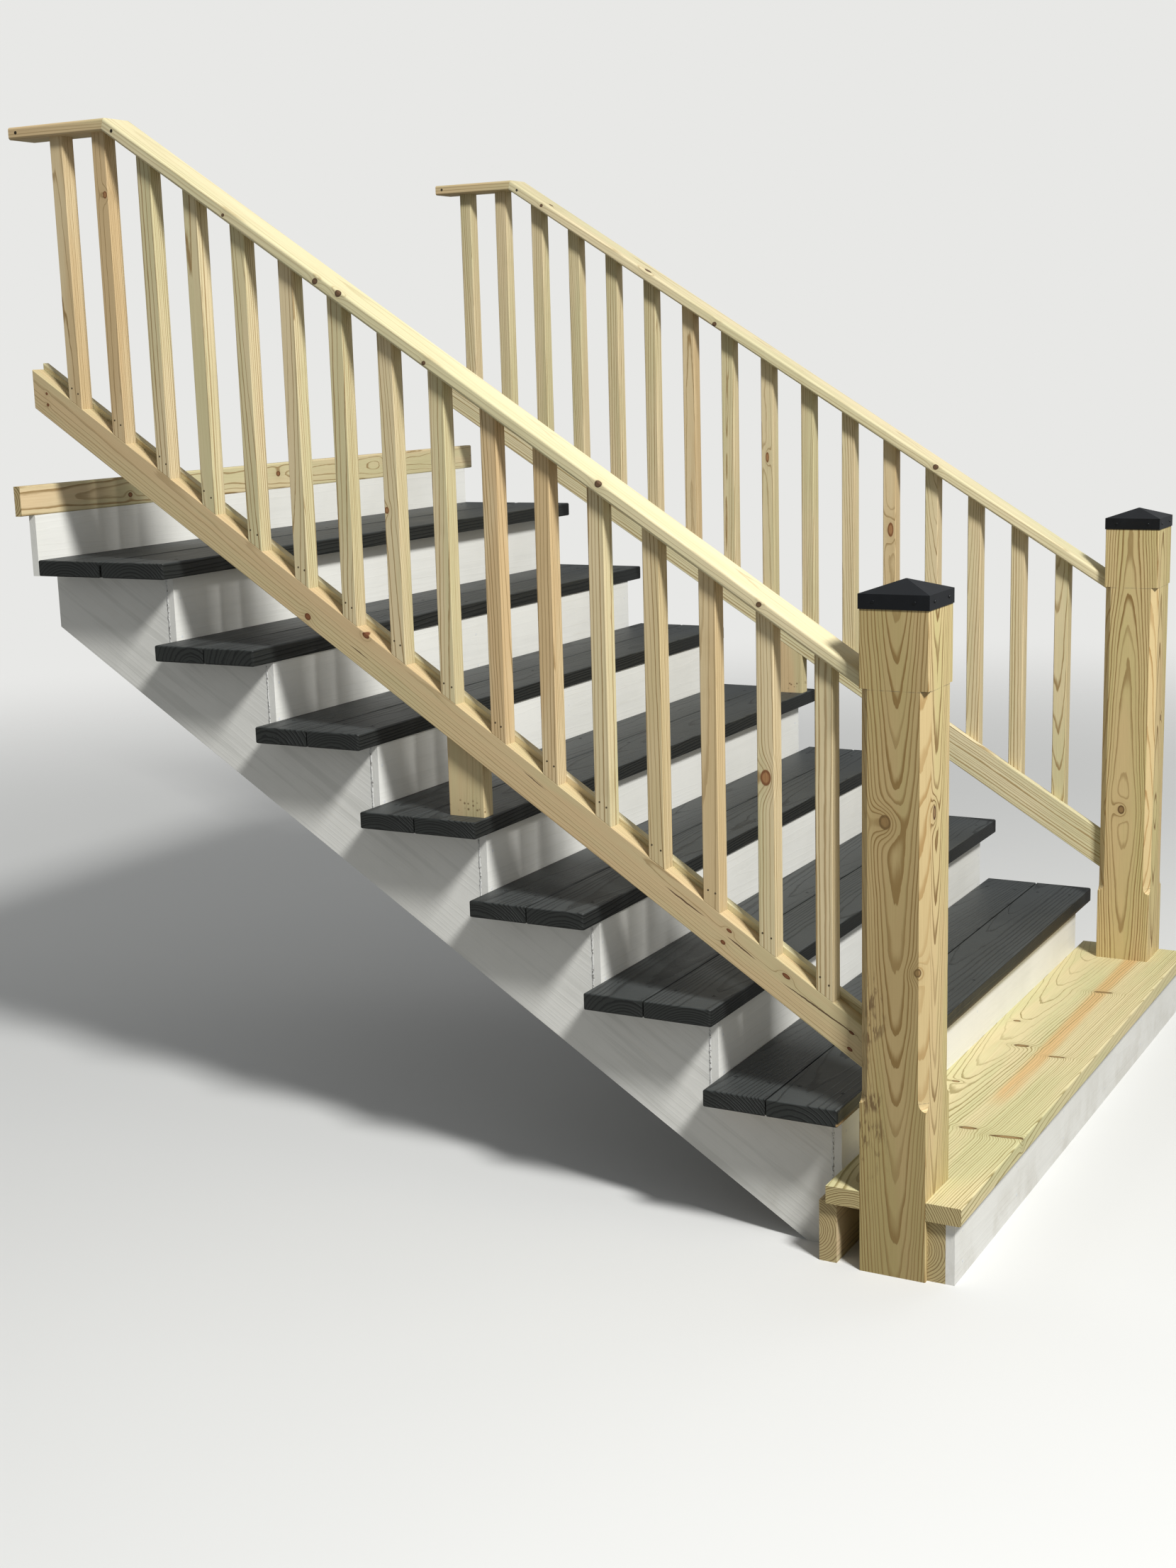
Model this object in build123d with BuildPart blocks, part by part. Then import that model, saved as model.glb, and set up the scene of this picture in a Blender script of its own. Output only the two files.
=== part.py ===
from build123d import *
import os
from math import atan, cos, degrees, sqrt, tan

os.makedirs("parts", exist_ok=True)

# Wooden deck stairs: seven painted treads over a wide bottom step, with a railing on each side.
# +Y points into the wall the stairs are fastened to, +X across the stairs, +Z up.
# The origin is on the flat back of the header board, halfway up and halfway along.

# Lumber sections, all in millimetres
board_t = 38.0
trim_t = 19.0
top_board_w = 184.0
tread_back_w = 140.0
nose_board_w = (140.0, 140.0, 156.0, 140.0, 156.0, 156.0)
board_gap = 3.0
top_board_gap = 9.0
step_board_w = 286.0
post_w = 140.0
baluster_w = 38.0
cap_rail_w = 89.0
cap_rail_t = 27.5
block_w = 89.0
ease_r = 4.0
small_ease_r = 2.0
nose_corner_r = 6.0
cap_ease_r = 6.0

# Steps
rise = 175.0
run = 277.5
top_rise = 176.0
first_rise = 190.0
bottom_rise = 160.0
step_height = 170.0
lower_treads = 6
top_nosing = 39.5
tread_inset = 11.0
tread_overhang = 79.0
stringer_throat = 130.0

# Header board at the wall side
header_t = 19.0
header_h = 70.0
header_overhang = 32.0

# Bottom step and its box frame
newel_span = 1944.0
step_overhang = 16.5
fascia_inset = 12.0
frame_joists = 5

# Newel posts and their metal caps
newel_above_rail = 159.0
chamfer_leg = 17.0
upper_stop_drop = 23.0
lower_stop_height = 188.0
tongue_len = 33.0
cap_wall = 1.6
cap_skirt = 29.0
cap_peak = 23.5
cap_tip = 3.0

# Railings, each fitted on site, so their upper ends differ a little
rail_foot_height = 330.0
rail_spacing = 718.0
left_head_height = 267.5
right_head_height = 220.0
left_head_spacing = 726.0
right_head_spacing = 732.0
left_level_height = 810.0
right_level_height = 786.0
bottom_rail_h = 75.0
ledge_lip = 12.0
baluster_pitch = 124.0
left_first_baluster = 106.5
right_first_baluster = 63.5
baluster_end_gap = 40.0
treads_above_block = 3
block_setback = 5.5

# Lengths across the stairs
tread_len = newel_span - tread_inset * 2
stringer_span = tread_len - tread_overhang * 2
header_len = newel_span + header_overhang * 2

# Where each tread top lies, from the header down
header_top = header_h / 2
tread_top = [header_top - top_rise]
tread_top.append(tread_top[0] - first_rise)
for step in range(1, lower_treads):
    tread_top.append(tread_top[step] - rise)
step_top = tread_top[-1] - bottom_rise
ground_z = step_top - step_height
seat = [top - board_t for top in tread_top]
step_seat = step_top - board_t

# Where each riser's back face lies, which is the plumb cut of the stringers
top_front = -trim_t - top_board_w * 2 - top_board_gap
plumb = [top_front + top_nosing + trim_t]
for step in range(lower_treads):
    plumb.append(plumb[step] - run)
step_back = plumb[-1] - trim_t
step_front = step_back - step_board_w

# Each tread butts against the face of the riser behind it, a back board and then a nose board
tread_back = [-trim_t] + [cut - trim_t for cut in plumb[:-1]]
back_w = [top_board_w] + [tread_back_w] * lower_treads
gap_w = [top_board_gap] + [board_gap] * lower_treads
nose_w = [top_board_w]
for step in range(lower_treads):
    nose_w.append(nose_board_w[step % len(nose_board_w)])
tread_front = []
for step, back_edge in enumerate(tread_back):
    tread_front.append(back_edge - back_w[step] - gap_w[step] - nose_w[step])

# Newel posts stand in notches of the bottom step
newel_front = step_front + step_overhang + trim_t + board_t
newel_back = newel_front + post_w
newel_x = (newel_span - post_w) / 2

# The rails run from the plane of the header's front face down to the newels
rail_head_y = -header_t
rail_run = rail_head_y - newel_back
rail_foot_z = step_top + rail_foot_height
cap_foot_z = rail_foot_z + rail_spacing
rail_w = baluster_w + trim_t
rail_out_x = -newel_x - rail_w / 2
cap_out_x = -newel_x - cap_rail_w / 2


# Treads, each of two boards with eased edges, the nose board's front corners rounded
for step, top in enumerate(tread_top):
    with BuildPart() as tread:
        with BuildSketch(Plane.XY.offset(top - board_t)):
            with Locations((0, tread_back[step] - back_w[step] / 2)):
                Rectangle(tread_len, back_w[step])
        extrude(amount=board_t)
        with BuildSketch(Plane.XY.offset(top - board_t)) as nose_board:
            with Locations((0, tread_front[step] + nose_w[step] / 2)):
                Rectangle(tread_len, nose_w[step])
            fillet(nose_board.vertices().group_by(Axis.Y)[0], radius=nose_corner_r)
        extrude(amount=board_t)
        fillet(tread.edges().group_by(Axis.Z)[-1], radius=ease_r)
        fillet(tread.edges().group_by(Axis.Z)[0], radius=ease_r)
    tread.part.label = f"tread_{step + 1}"
    export_step(tread.part, f"parts/tread_{step + 1}.step")

# Risers stand on the level cuts of the stringers and reach the underside of the tread above
for number in range(1, len(tread_top) + 1):
    foot = seat[number] if number < len(seat) else step_seat
    with BuildPart() as riser:
        with BuildSketch(Plane.XY.offset(foot)):
            with Locations((0, plumb[number - 1] - trim_t / 2)):
                Rectangle(stringer_span, trim_t)
        extrude(amount=seat[number - 1] - foot)
    riser.part.label = f"riser_{number}"
    export_step(riser.part, f"parts/riser_{number}.step")

with BuildPart() as top_riser:
    with BuildSketch(Plane.XY.offset(seat[0])):
        with Locations((0, -trim_t / 2)):
            Rectangle(tread_len, trim_t)
    extrude(amount=-header_h / 2 - seat[0])
top_riser.part.label = "top_riser"
export_step(top_riser.part, "parts/top_riser.step")

# Header board along the top of the stairs, its flat back against the wall
with BuildPart() as header_board:
    with BuildSketch(Plane.XY.offset(-header_h / 2)):
        with Locations((0, -header_t / 2)):
            Rectangle(header_len, header_t)
    extrude(amount=header_h)
    fillet(header_board.edges().group_by(Axis.Y)[0].filter_by(Axis.X), radius=ease_r)
header_board.part.label = "header_board"
export_step(header_board.part, "parts/header_board.step")

# Cut stringers with a seat for every tread and a plumb cut for every riser
stair_slope = rise / run
soffit_drop = stringer_throat * sqrt(1 + stair_slope**2)
soffit_z = seat[1] - soffit_drop - plumb[0] * stair_slope
heel_y = (ground_z - soffit_z) / stair_slope
outline = [(0, soffit_z), (0, seat[0])]
for step, cut in enumerate(plumb):
    outline.append((cut, seat[step]))
    outline.append((cut, seat[step + 1] if step < lower_treads else ground_z))
outline.append((heel_y, ground_z))

stringer_x = {
    "left": -stringer_span / 2,
    "middle": -board_t / 2,
    "right": stringer_span / 2 - board_t,
}
for place, near_x in stringer_x.items():
    with BuildPart() as stringer:
        with BuildSketch(Plane.YZ.offset(near_x)):
            with BuildLine():
                Polyline(*outline, close=True)
            make_face()
        extrude(amount=board_t)
    stringer.part.label = f"stringer_{place}"
    export_step(stringer.part, f"parts/stringer_{place}.step")

# Bottom step, one wide board notched round both newels
with BuildPart() as step_board:
    with BuildSketch(Plane.XY.offset(step_seat)):
        with Locations((0, step_front + step_board_w / 2)):
            Rectangle(newel_span, step_board_w)
        with Locations((-newel_x, newel_front + post_w / 2), (newel_x, newel_front + post_w / 2)):
            Rectangle(post_w, post_w, mode=Mode.SUBTRACT)
    extrude(amount=board_t)
    fillet(step_board.edges().filter_by(Axis.X).group_by(Axis.Y)[0], radius=ease_r)
step_board.part.label = "step_board"
export_step(step_board.part, "parts/step_board.step")

# Box frame under the bottom step
frame_h = step_seat - ground_z
frame_len = newel_span - fascia_inset * 2
with BuildPart() as step_fascia:
    with BuildSketch(Plane.XY.offset(ground_z)):
        with Locations((0, newel_front - board_t - trim_t / 2)):
            Rectangle(frame_len, trim_t)
    extrude(amount=frame_h)
step_fascia.part.label = "step_fascia"
export_step(step_fascia.part, "parts/step_fascia.step")

with BuildPart() as frame_front:
    with BuildSketch(Plane.XY.offset(ground_z)):
        with Locations((0, newel_front - board_t / 2)):
            Rectangle(frame_len, board_t)
    extrude(amount=frame_h)
frame_front.part.label = "frame_front"
export_step(frame_front.part, "parts/frame_front.step")

with BuildPart() as frame_back:
    with BuildSketch(Plane.XY.offset(ground_z)):
        with Locations((0, plumb[-1] - board_t / 2)):
            Rectangle(frame_len, board_t)
    extrude(amount=frame_h)
frame_back.part.label = "frame_back"
export_step(frame_back.part, "parts/frame_back.step")

joist_len = plumb[-1] - board_t - newel_front
joist_span = newel_x * 2 - post_w - board_t
joist_step = joist_span / (frame_joists - 1)
with BuildPart() as frame_joist:
    with BuildSketch(Plane.XY.offset(ground_z)):
        with Locations((0, newel_front + joist_len / 2)):
            with GridLocations(joist_step, joist_len, frame_joists, 1):
                Rectangle(board_t, joist_len)
    extrude(amount=frame_h)
frame_joist.part.label = "frame_joists"
export_step(frame_joist.part, "parts/frame_joists.step")

# Newel posts with stop chamfers: a square stop above, a sloping tongue below
newel_top = cap_foot_z + newel_above_rail
upper_stop = cap_foot_z - upper_stop_drop
lower_stop = step_top + lower_stop_height
corner_r = post_w / sqrt(2)
flat_r = corner_r - chamfer_leg / sqrt(2)
newel_y = newel_front + post_w / 2
with BuildPart() as newel_left:
    with BuildSketch(Plane.XY.offset(ground_z)):
        with Locations((-newel_x, newel_y)):
            Rectangle(post_w, post_w)
    extrude(amount=newel_top - ground_z)
    fillet(newel_left.edges().filter_by(Axis.Z), radius=small_ease_r)
    for turn in (45, 135, 225, 315):
        outward = Vector(1, 0, 0).rotate(Axis.Z, turn)
        diagonal = Plane(origin=(-newel_x, newel_y, 0), x_dir=outward, z_dir=outward.cross(Vector(0, 0, 1)))
        with BuildSketch(diagonal):
            with BuildLine():
                Polyline(
                    (corner_r + chamfer_leg, upper_stop),
                    (flat_r, upper_stop),
                    (flat_r, lower_stop + tongue_len),
                )
                Spline(
                    (flat_r, lower_stop + tongue_len),
                    (corner_r, lower_stop),
                    tangents=[(0, -1), (1, -0.25)],
                )
                Polyline(
                    (corner_r, lower_stop),
                    (corner_r + chamfer_leg, lower_stop),
                    (corner_r + chamfer_leg, upper_stop),
                )
            make_face()
        extrude(amount=post_w / 2, both=True, mode=Mode.SUBTRACT)
newel_left.part.label = "newel_left"
export_step(newel_left.part, "parts/newel_left.step")

with BuildPart() as newel_right:
    mirror(newel_left.part, about=Plane.YZ)
newel_right.part.label = "newel_right"
export_step(newel_right.part, "parts/newel_right.step")

# Thin metal caps, a skirt round the post and a shallow pyramid above it
cap_w = post_w + cap_wall * 2
cap_taper = degrees(atan((cap_w - cap_tip) / 2 / cap_peak))
cap_inner_peak = cap_peak - cap_wall
cap_inner_taper = degrees(atan((post_w - cap_tip) / 2 / cap_inner_peak))
with BuildPart() as cap_left:
    with BuildSketch(Plane.XY.offset(newel_top - cap_skirt)):
        with Locations((-newel_x, newel_y)):
            Rectangle(cap_w, cap_w)
            Rectangle(post_w, post_w, mode=Mode.SUBTRACT)
    extrude(amount=cap_skirt)
    with BuildSketch(Plane.XY.offset(newel_top)):
        with Locations((-newel_x, newel_y)):
            Rectangle(cap_w, cap_w)
    extrude(amount=cap_peak, taper=cap_taper)
    with BuildSketch(Plane.XY.offset(newel_top)):
        with Locations((-newel_x, newel_y)):
            Rectangle(post_w, post_w)
    extrude(amount=cap_inner_peak, taper=cap_inner_taper, mode=Mode.SUBTRACT)
cap_left.part.label = "newel_cap_left"
export_step(cap_left.part, "parts/newel_cap_left.step")

with BuildPart() as cap_right:
    mirror(cap_left.part, about=Plane.YZ)
cap_right.part.label = "newel_cap_right"
export_step(cap_right.part, "parts/newel_cap_right.step")

# Support blocks stand on a middle tread
block_out_x = rail_out_x + rail_w - board_t
block_front = tread_front[treads_above_block] + block_setback
block_seat = tread_top[treads_above_block]
block_back = block_front + block_w

# Each railing is modelled on the left, and the right one is then mirrored to its side
railings = (
    ("left", left_head_height, left_head_spacing, left_level_height, left_first_baluster),
    ("right", right_head_height, right_head_spacing, right_level_height, right_first_baluster),
)
for side, head_height, head_spacing, level_height, first_baluster in railings:
    rail_head_z = header_top + head_height
    rail_slope = (rail_head_z - rail_foot_z) / rail_run
    rail_rake = Axis((0, 0, 0), (0, 1, rail_slope))
    rail_plumb = 1 / cos(atan(rail_slope))
    rail_drop = bottom_rail_h * rail_plumb
    rail_lip = ledge_lip * rail_plumb

    # Bottom rail: an outer member with the ledge and an inner strip that stands above it
    with BuildPart() as bottom_rail:
        with BuildSketch(Plane.YZ.offset(rail_out_x)):
            with BuildLine():
                Polyline(
                    (newel_back, rail_foot_z),
                    (rail_head_y, rail_head_z),
                    (rail_head_y, rail_head_z - rail_drop),
                    (newel_back, rail_foot_z - rail_drop),
                    close=True,
                )
            make_face()
        extrude(amount=baluster_w)
        fillet(bottom_rail.edges().filter_by(rail_rake), radius=small_ease_r)

    with BuildPart() as rail_strip:
        with BuildSketch(Plane.YZ.offset(rail_out_x + baluster_w)):
            with BuildLine():
                Polyline(
                    (newel_back, rail_foot_z + rail_lip),
                    (rail_head_y, rail_head_z + rail_lip),
                    (rail_head_y, rail_head_z - rail_drop),
                    (newel_back, rail_foot_z - rail_drop),
                    close=True,
                )
            make_face()
        extrude(amount=trim_t)
        fillet(rail_strip.edges().filter_by(rail_rake), radius=small_ease_r)

    # Top rail laid flat: a sloping length mitred to a level length at its upper end
    cap_slope = (rail_head_z + head_spacing - cap_foot_z) / rail_run
    cap_angle = atan(cap_slope)
    cap_rake = Axis((0, 0, 0), (0, 1, cap_slope))
    cap_drop = cap_rail_t / cos(cap_angle)
    level_z = header_top + level_height
    under_z = level_z - cap_rail_t
    bend_y = newel_back + (level_z - cap_foot_z) / cap_slope
    mitre_foot_y = bend_y + cap_rail_t * tan(cap_angle / 2)
    with BuildPart() as top_rail:
        with BuildSketch(Plane.YZ.offset(cap_out_x)):
            with BuildLine():
                Polyline(
                    (newel_back, cap_foot_z),
                    (bend_y, level_z),
                    (mitre_foot_y, under_z),
                    (newel_back, cap_foot_z - cap_drop),
                    close=True,
                )
            make_face()
        extrude(amount=cap_rail_w)
        fillet(top_rail.edges().filter_by(cap_rake), radius=cap_ease_r)

    with BuildPart() as level_rail:
        with BuildSketch(Plane.YZ.offset(cap_out_x)):
            with BuildLine():
                Polyline(
                    (bend_y, level_z),
                    (rail_head_y, level_z),
                    (rail_head_y, under_z),
                    (mitre_foot_y, under_z),
                    close=True,
                )
            make_face()
        extrude(amount=cap_rail_w)
        fillet(level_rail.edges().filter_by(Axis.Y), radius=cap_ease_r)

    # Balusters stand on the ledge and reach the underside of the top rail
    last_room = rail_run - first_baluster - baluster_w - baluster_end_gap
    baluster_count = int(last_room / baluster_pitch) + 1
    baluster_mid = rail_head_y - first_baluster - baluster_w / 2 - baluster_pitch * (baluster_count - 1) / 2
    with BuildPart() as balusters:
        with BuildSketch(Plane.XY.offset(rail_foot_z - rail_drop)):
            with Locations((rail_out_x + baluster_w / 2, baluster_mid)):
                with GridLocations(baluster_w, baluster_pitch, 1, baluster_count):
                    Rectangle(baluster_w, baluster_w)
        extrude(amount=level_z - rail_foot_z + rail_drop)
        chamfer(balusters.edges().filter_by(Axis.Z), length=small_ease_r)
        with BuildSketch(Plane.YZ.offset(rail_out_x)):
            with BuildLine():
                Polyline(
                    (newel_back, rail_foot_z),
                    (rail_head_y, rail_head_z),
                    (rail_head_y, under_z),
                    (mitre_foot_y, under_z),
                    (newel_back, cap_foot_z - cap_drop),
                    close=True,
                )
            make_face()
        extrude(amount=baluster_w, mode=Mode.INTERSECT)

    # Support block between a middle tread and the underside of the bottom rail
    block_front_z = rail_foot_z + rail_slope * (block_front - newel_back) - rail_drop
    block_back_z = rail_foot_z + rail_slope * (block_back - newel_back) - rail_drop
    with BuildPart() as support_block:
        with BuildSketch(Plane.YZ.offset(block_out_x)):
            with BuildLine():
                Polyline(
                    (block_front, block_seat),
                    (block_front, block_front_z),
                    (block_back, block_back_z),
                    (block_back, block_seat),
                    close=True,
                )
            make_face()
        extrude(amount=board_t)
        fillet(support_block.edges().filter_by(Axis.Z), radius=small_ease_r)

    for name, piece in (
        ("bottom_rail", bottom_rail),
        ("rail_strip", rail_strip),
        ("top_rail", top_rail),
        ("level_rail", level_rail),
        ("balusters", balusters),
        ("support_block", support_block),
    ):
        with BuildPart() as fitted:
            if side == "left":
                add(piece.part)
            else:
                mirror(piece.part, about=Plane.YZ)
        fitted.part.label = f"{name}_{side}"
        export_step(fitted.part, f"parts/{name}_{side}.step")
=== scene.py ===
import logging
import math
import random
from dataclasses import dataclass, replace
from enum import Enum
from functools import cached_property
from typing import Iterable, Iterator, Sequence, Union

import bmesh
import bpy
from mathutils import Matrix, Vector


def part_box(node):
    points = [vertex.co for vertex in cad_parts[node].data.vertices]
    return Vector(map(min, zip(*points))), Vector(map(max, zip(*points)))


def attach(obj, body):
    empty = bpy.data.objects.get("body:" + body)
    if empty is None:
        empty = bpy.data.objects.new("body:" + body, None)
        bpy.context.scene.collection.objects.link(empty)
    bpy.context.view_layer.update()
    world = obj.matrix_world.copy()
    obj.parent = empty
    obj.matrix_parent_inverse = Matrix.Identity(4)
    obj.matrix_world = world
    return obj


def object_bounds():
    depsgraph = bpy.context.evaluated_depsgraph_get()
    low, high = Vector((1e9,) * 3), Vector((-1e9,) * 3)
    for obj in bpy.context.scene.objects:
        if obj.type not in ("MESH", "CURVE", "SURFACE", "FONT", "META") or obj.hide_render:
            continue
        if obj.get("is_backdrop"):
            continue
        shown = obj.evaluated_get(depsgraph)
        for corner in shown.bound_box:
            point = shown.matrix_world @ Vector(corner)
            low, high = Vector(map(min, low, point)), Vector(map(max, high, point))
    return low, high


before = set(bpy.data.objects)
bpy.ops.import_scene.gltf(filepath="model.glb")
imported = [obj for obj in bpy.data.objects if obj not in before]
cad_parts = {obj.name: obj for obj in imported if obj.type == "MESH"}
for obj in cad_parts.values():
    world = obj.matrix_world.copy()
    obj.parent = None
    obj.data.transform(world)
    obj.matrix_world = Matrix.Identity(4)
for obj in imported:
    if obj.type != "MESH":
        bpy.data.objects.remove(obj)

log = logging.getLogger("deck_stairs")

Number = Union[int, float]
Pair = tuple[float, float]
Triple = tuple[float, float, float]
Colour = tuple[float, float, float]
Spot = tuple[Vector, Vector]

ACROSS: Triple = (1.0, 0.0, 0.0)
WALLWARD: Triple = (0.0, 1.0, 0.0)
FRONTWARD: Triple = (0.0, -1.0, 0.0)
UP: Triple = (0.0, 0.0, 1.0)


def srgb(red: Number, green: Number, blue: Number) -> Colour:
    """Turns a display colour of 0 to 255 into the linear colour that a shader takes.

    Args:
        red: Red, 0 to 255.
        green: Green, 0 to 255.
        blue: Blue, 0 to 255.

    Returns:
        The linear colour.
    """
    def channel(value: Number) -> float:
        """Turns one channel into its linear value."""
        part = value / 255.0
        return part / 12.92 if part <= 0.04045 else ((part + 0.055) / 1.055) ** 2.4

    return channel(red), channel(green), channel(blue)


class Side(Enum):
    """The two sides of the stairs, seen from the front, with the way that each lies along X."""

    LEFT = -1.0
    RIGHT = 1.0

    def __str__(self) -> str:
        """The side's name as the nodes have it."""
        return self.name.lower()

    @property
    def out(self) -> Triple:
        """The direction away from the middle of the stairs."""
        return self.value, 0.0, 0.0

    def outer(self, low: Vector, high: Vector) -> float:
        """Where the outer face of a box is along X."""
        return low.x if self is Side.LEFT else high.x


class Wire:
    """A shader socket that can stand in a Python expression on numbers."""

    def __init__(self, graph: "Graph", socket: bpy.types.NodeSocket) -> None:
        """Wraps an output socket of a graph."""
        self.graph = graph
        self.socket = socket

    def __add__(self, other: "Term") -> "Wire":
        """This plus other."""
        return self.graph.maths("ADD", self, other)

    __radd__ = __add__

    def __mul__(self, other: "Term") -> "Wire":
        """This times other."""
        return self.graph.maths("MULTIPLY", self, other)

    __rmul__ = __mul__

    def __sub__(self, other: "Term") -> "Wire":
        """This less other."""
        return self.graph.maths("SUBTRACT", self, other)

    def __rsub__(self, other: "Term") -> "Wire":
        """Other less this."""
        return self.graph.maths("SUBTRACT", other, self)

    def __truediv__(self, other: "Term") -> "Wire":
        """This over other."""
        return self.graph.maths("DIVIDE", self, other)

    def __rtruediv__(self, other: "Term") -> "Wire":
        """Other over this."""
        return self.graph.maths("DIVIDE", other, self)

    def __pow__(self, other: "Term") -> "Wire":
        """This to the power of other."""
        return self.graph.maths("POWER", self, other)

    def __rpow__(self, other: "Term") -> "Wire":
        """Other to the power of this."""
        return self.graph.maths("POWER", other, self)

    def __gt__(self, other: "Term") -> "Wire":
        """One where this is greater than other, else zero."""
        return self.graph.maths("GREATER_THAN", self, other)

    def __lt__(self, other: "Term") -> "Wire":
        """One where this is less than other, else zero."""
        return self.graph.maths("LESS_THAN", self, other)

    def __neg__(self) -> "Wire":
        """Minus this."""
        return self.graph.maths("MULTIPLY", self, -1.0)

    def __abs__(self) -> "Wire":
        """This without its sign."""
        return self.graph.maths("ABSOLUTE", self)

    def floor(self) -> "Wire":
        """The whole number below this."""
        return self.graph.maths("FLOOR", self)

    def fract(self) -> "Wire":
        """What is left of this above a whole number."""
        return self.graph.maths("FRACT", self)

    def root(self) -> "Wire":
        """The square root of this."""
        return self.graph.maths("SQRT", self)

    def exp(self) -> "Wire":
        """The exponential of this."""
        return self.graph.maths("EXPONENT", self)

    def least(self, other: "Term") -> "Wire":
        """The smaller of this and other."""
        return self.graph.maths("MINIMUM", self, other)

    def most(self, other: "Term") -> "Wire":
        """The larger of this and other."""
        return self.graph.maths("MAXIMUM", self, other)

    def step(self, low: Number, high: Number) -> "Wire":
        """A smooth step from 0 at low to 1 at high, or the reverse where high is the smaller.

        Args:
            low: Where the step is 0.
            high: Where the step is 1.

        Returns:
            The step.
        """
        start, end = (low, high) if low < high else (high, low)
        values = {"Value": self, "From Min": start, "From Max": end, "To Min": 0.0, "To Max": 1.0}
        smooth = self.graph.add("ShaderNodeMapRange", {"interpolation_type": "SMOOTHSTEP"}, values)
        return smooth if low < high else 1.0 - smooth


Term = Union[Wire, Number]
Value = Union[Wire, Number, Sequence[float]]


class Graph:
    """The node tree of one material or world, with calls that add nodes to it."""

    MIX_COLOUR_INPUTS: tuple[int, int, int] = (0, 6, 7)
    MIX_COLOUR_OUTPUT: int = 2

    def __init__(self, owner: Union[bpy.types.Material, bpy.types.World]) -> None:
        """Takes the owner's node tree and empties it."""
        owner.use_nodes = True
        self.owner = owner
        self.tree = owner.node_tree
        self.tree.nodes.clear()

    @classmethod
    def of_material(cls, name: str) -> "Graph":
        """Starts the node tree of a new material."""
        return cls(bpy.data.materials.new(name))

    def feed(self, socket: bpy.types.NodeSocket, value: Value) -> None:
        """Links a wire to an input, or sets the input to a plain value.

        Args:
            socket: The input.
            value: A wire, one number, or a number for each part of the input.
        """
        if isinstance(value, Wire):
            self.tree.links.new(value.socket, socket)
            return
        size = len(socket.default_value) if hasattr(socket.default_value, "__len__") else 0
        if size == 0:
            socket.default_value = value
        elif isinstance(value, (int, float)):
            socket.default_value = (value,) * size
        else:
            socket.default_value = (list(value) + [1.0] * size)[:size]

    def node(self, kind: str, settings: dict | None = None, values: dict | None = None) -> bpy.types.Node:
        """Adds one node.

        Args:
            kind: The node's type.
            settings: Its settings, such as an operation, which are set first.
            values: Values or wires by the name or number of the input.

        Returns:
            The node.
        """
        node = self.tree.nodes.new(kind)
        for key, setting in (settings or {}).items():
            setattr(node, key, setting)
        for key, value in (values or {}).items():
            self.feed(node.inputs[key], value)
        return node

    def add(self, kind: str, settings: dict | None = None, values: dict | None = None,
            output: Union[str, int] = 0) -> Wire:
        """Adds one node and gives the output with the given name or number."""
        return Wire(self, self.node(kind, settings, values).outputs[output])

    def maths(self, operation: str, first: Term, second: Term = 0.0) -> Wire:
        """Adds a Math node."""
        return self.add("ShaderNodeMath", {"operation": operation}, {0: first, 1: second})

    def vector(self, operation: str, first: Value, second: Value, output: Union[str, int] = 0) -> Wire:
        """Adds a Vector Math node."""
        return self.add("ShaderNodeVectorMath", {"operation": operation}, {0: first, 1: second}, output)

    def dot(self, first: Value, second: Value) -> Wire:
        """The dot product of two vectors."""
        return self.vector("DOT_PRODUCT", first, second, "Value")

    def join(self, x: Term, y: Term, z: Term) -> Wire:
        """A vector of three numbers."""
        return self.add("ShaderNodeCombineXYZ", {}, {0: x, 1: y, 2: z})

    def split(self, vector: Value) -> tuple[Wire, ...]:
        """The three numbers of a vector."""
        return tuple(Wire(self, output) for output in self.node("ShaderNodeSeparateXYZ", {}, {0: vector}).outputs)

    def blend(self, factor: Term, first: Value, second: Value) -> Wire:
        """Adds a Mix node for colours.

        Args:
            factor: How much of the second colour shows.
            first: The colour at zero.
            second: The colour at one.

        Returns:
            The mixed colour.
        """
        settings = {"data_type": "RGBA", "clamp_factor": True}
        values = dict(zip(self.MIX_COLOUR_INPUTS, (factor, first, second)))
        return self.add("ShaderNodeMix", settings, values, self.MIX_COLOUR_OUTPUT)

    @cached_property
    def place(self) -> Wire:
        """The point being shaded, in metres in the part's own frame."""
        return self.add("ShaderNodeTexCoord", {}, {}, "Object")

    @cached_property
    def xyz(self) -> tuple[Wire, ...]:
        """The three numbers of the point being shaded."""
        return self.split(self.place)

    @cached_property
    def normal(self) -> Wire:
        """The way the surface faces, as a vector."""
        return self.add("ShaderNodeNewGeometry", {}, {}, "Normal")

    @cached_property
    def facing(self) -> tuple[Wire, ...]:
        """The three numbers of the way the surface faces."""
        return self.split(self.normal)

    def stretched(self, x: Number, y: Number, z: Number) -> Wire:
        """The point being shaded, with each of its numbers times its own factor."""
        return self.vector("MULTIPLY", self.place, (x, y, z))

    def noise(self, scale: Number, detail: Number = 2.0, roughness: Number = 0.5, at: Value | None = None,
              output: Union[str, int] = 0) -> Wire:
        """Adds a noise texture.

        Args:
            scale: How many waves go into one unit.
            detail: How many finer layers it has.
            roughness: How strong each finer layer is.
            at: The point that is looked up, or nothing for the point being shaded.
            output: The output to return, a value unless Color is asked for.

        Returns:
            The noise.
        """
        values = {"Vector": self.place if at is None else at, "Scale": scale, "Detail": detail,
                  "Roughness": roughness}
        return self.add("ShaderNodeTexNoise", {"noise_dimensions": "3D"}, values, output)

    def speckle(self, scale: Number) -> Wire:
        """Adds a cell texture and gives the distance to the nearest cell's point."""
        values = {"Vector": self.place, "Scale": scale}
        return self.add("ShaderNodeTexVoronoi", {"feature": "F1"}, values, "Distance")

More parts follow.
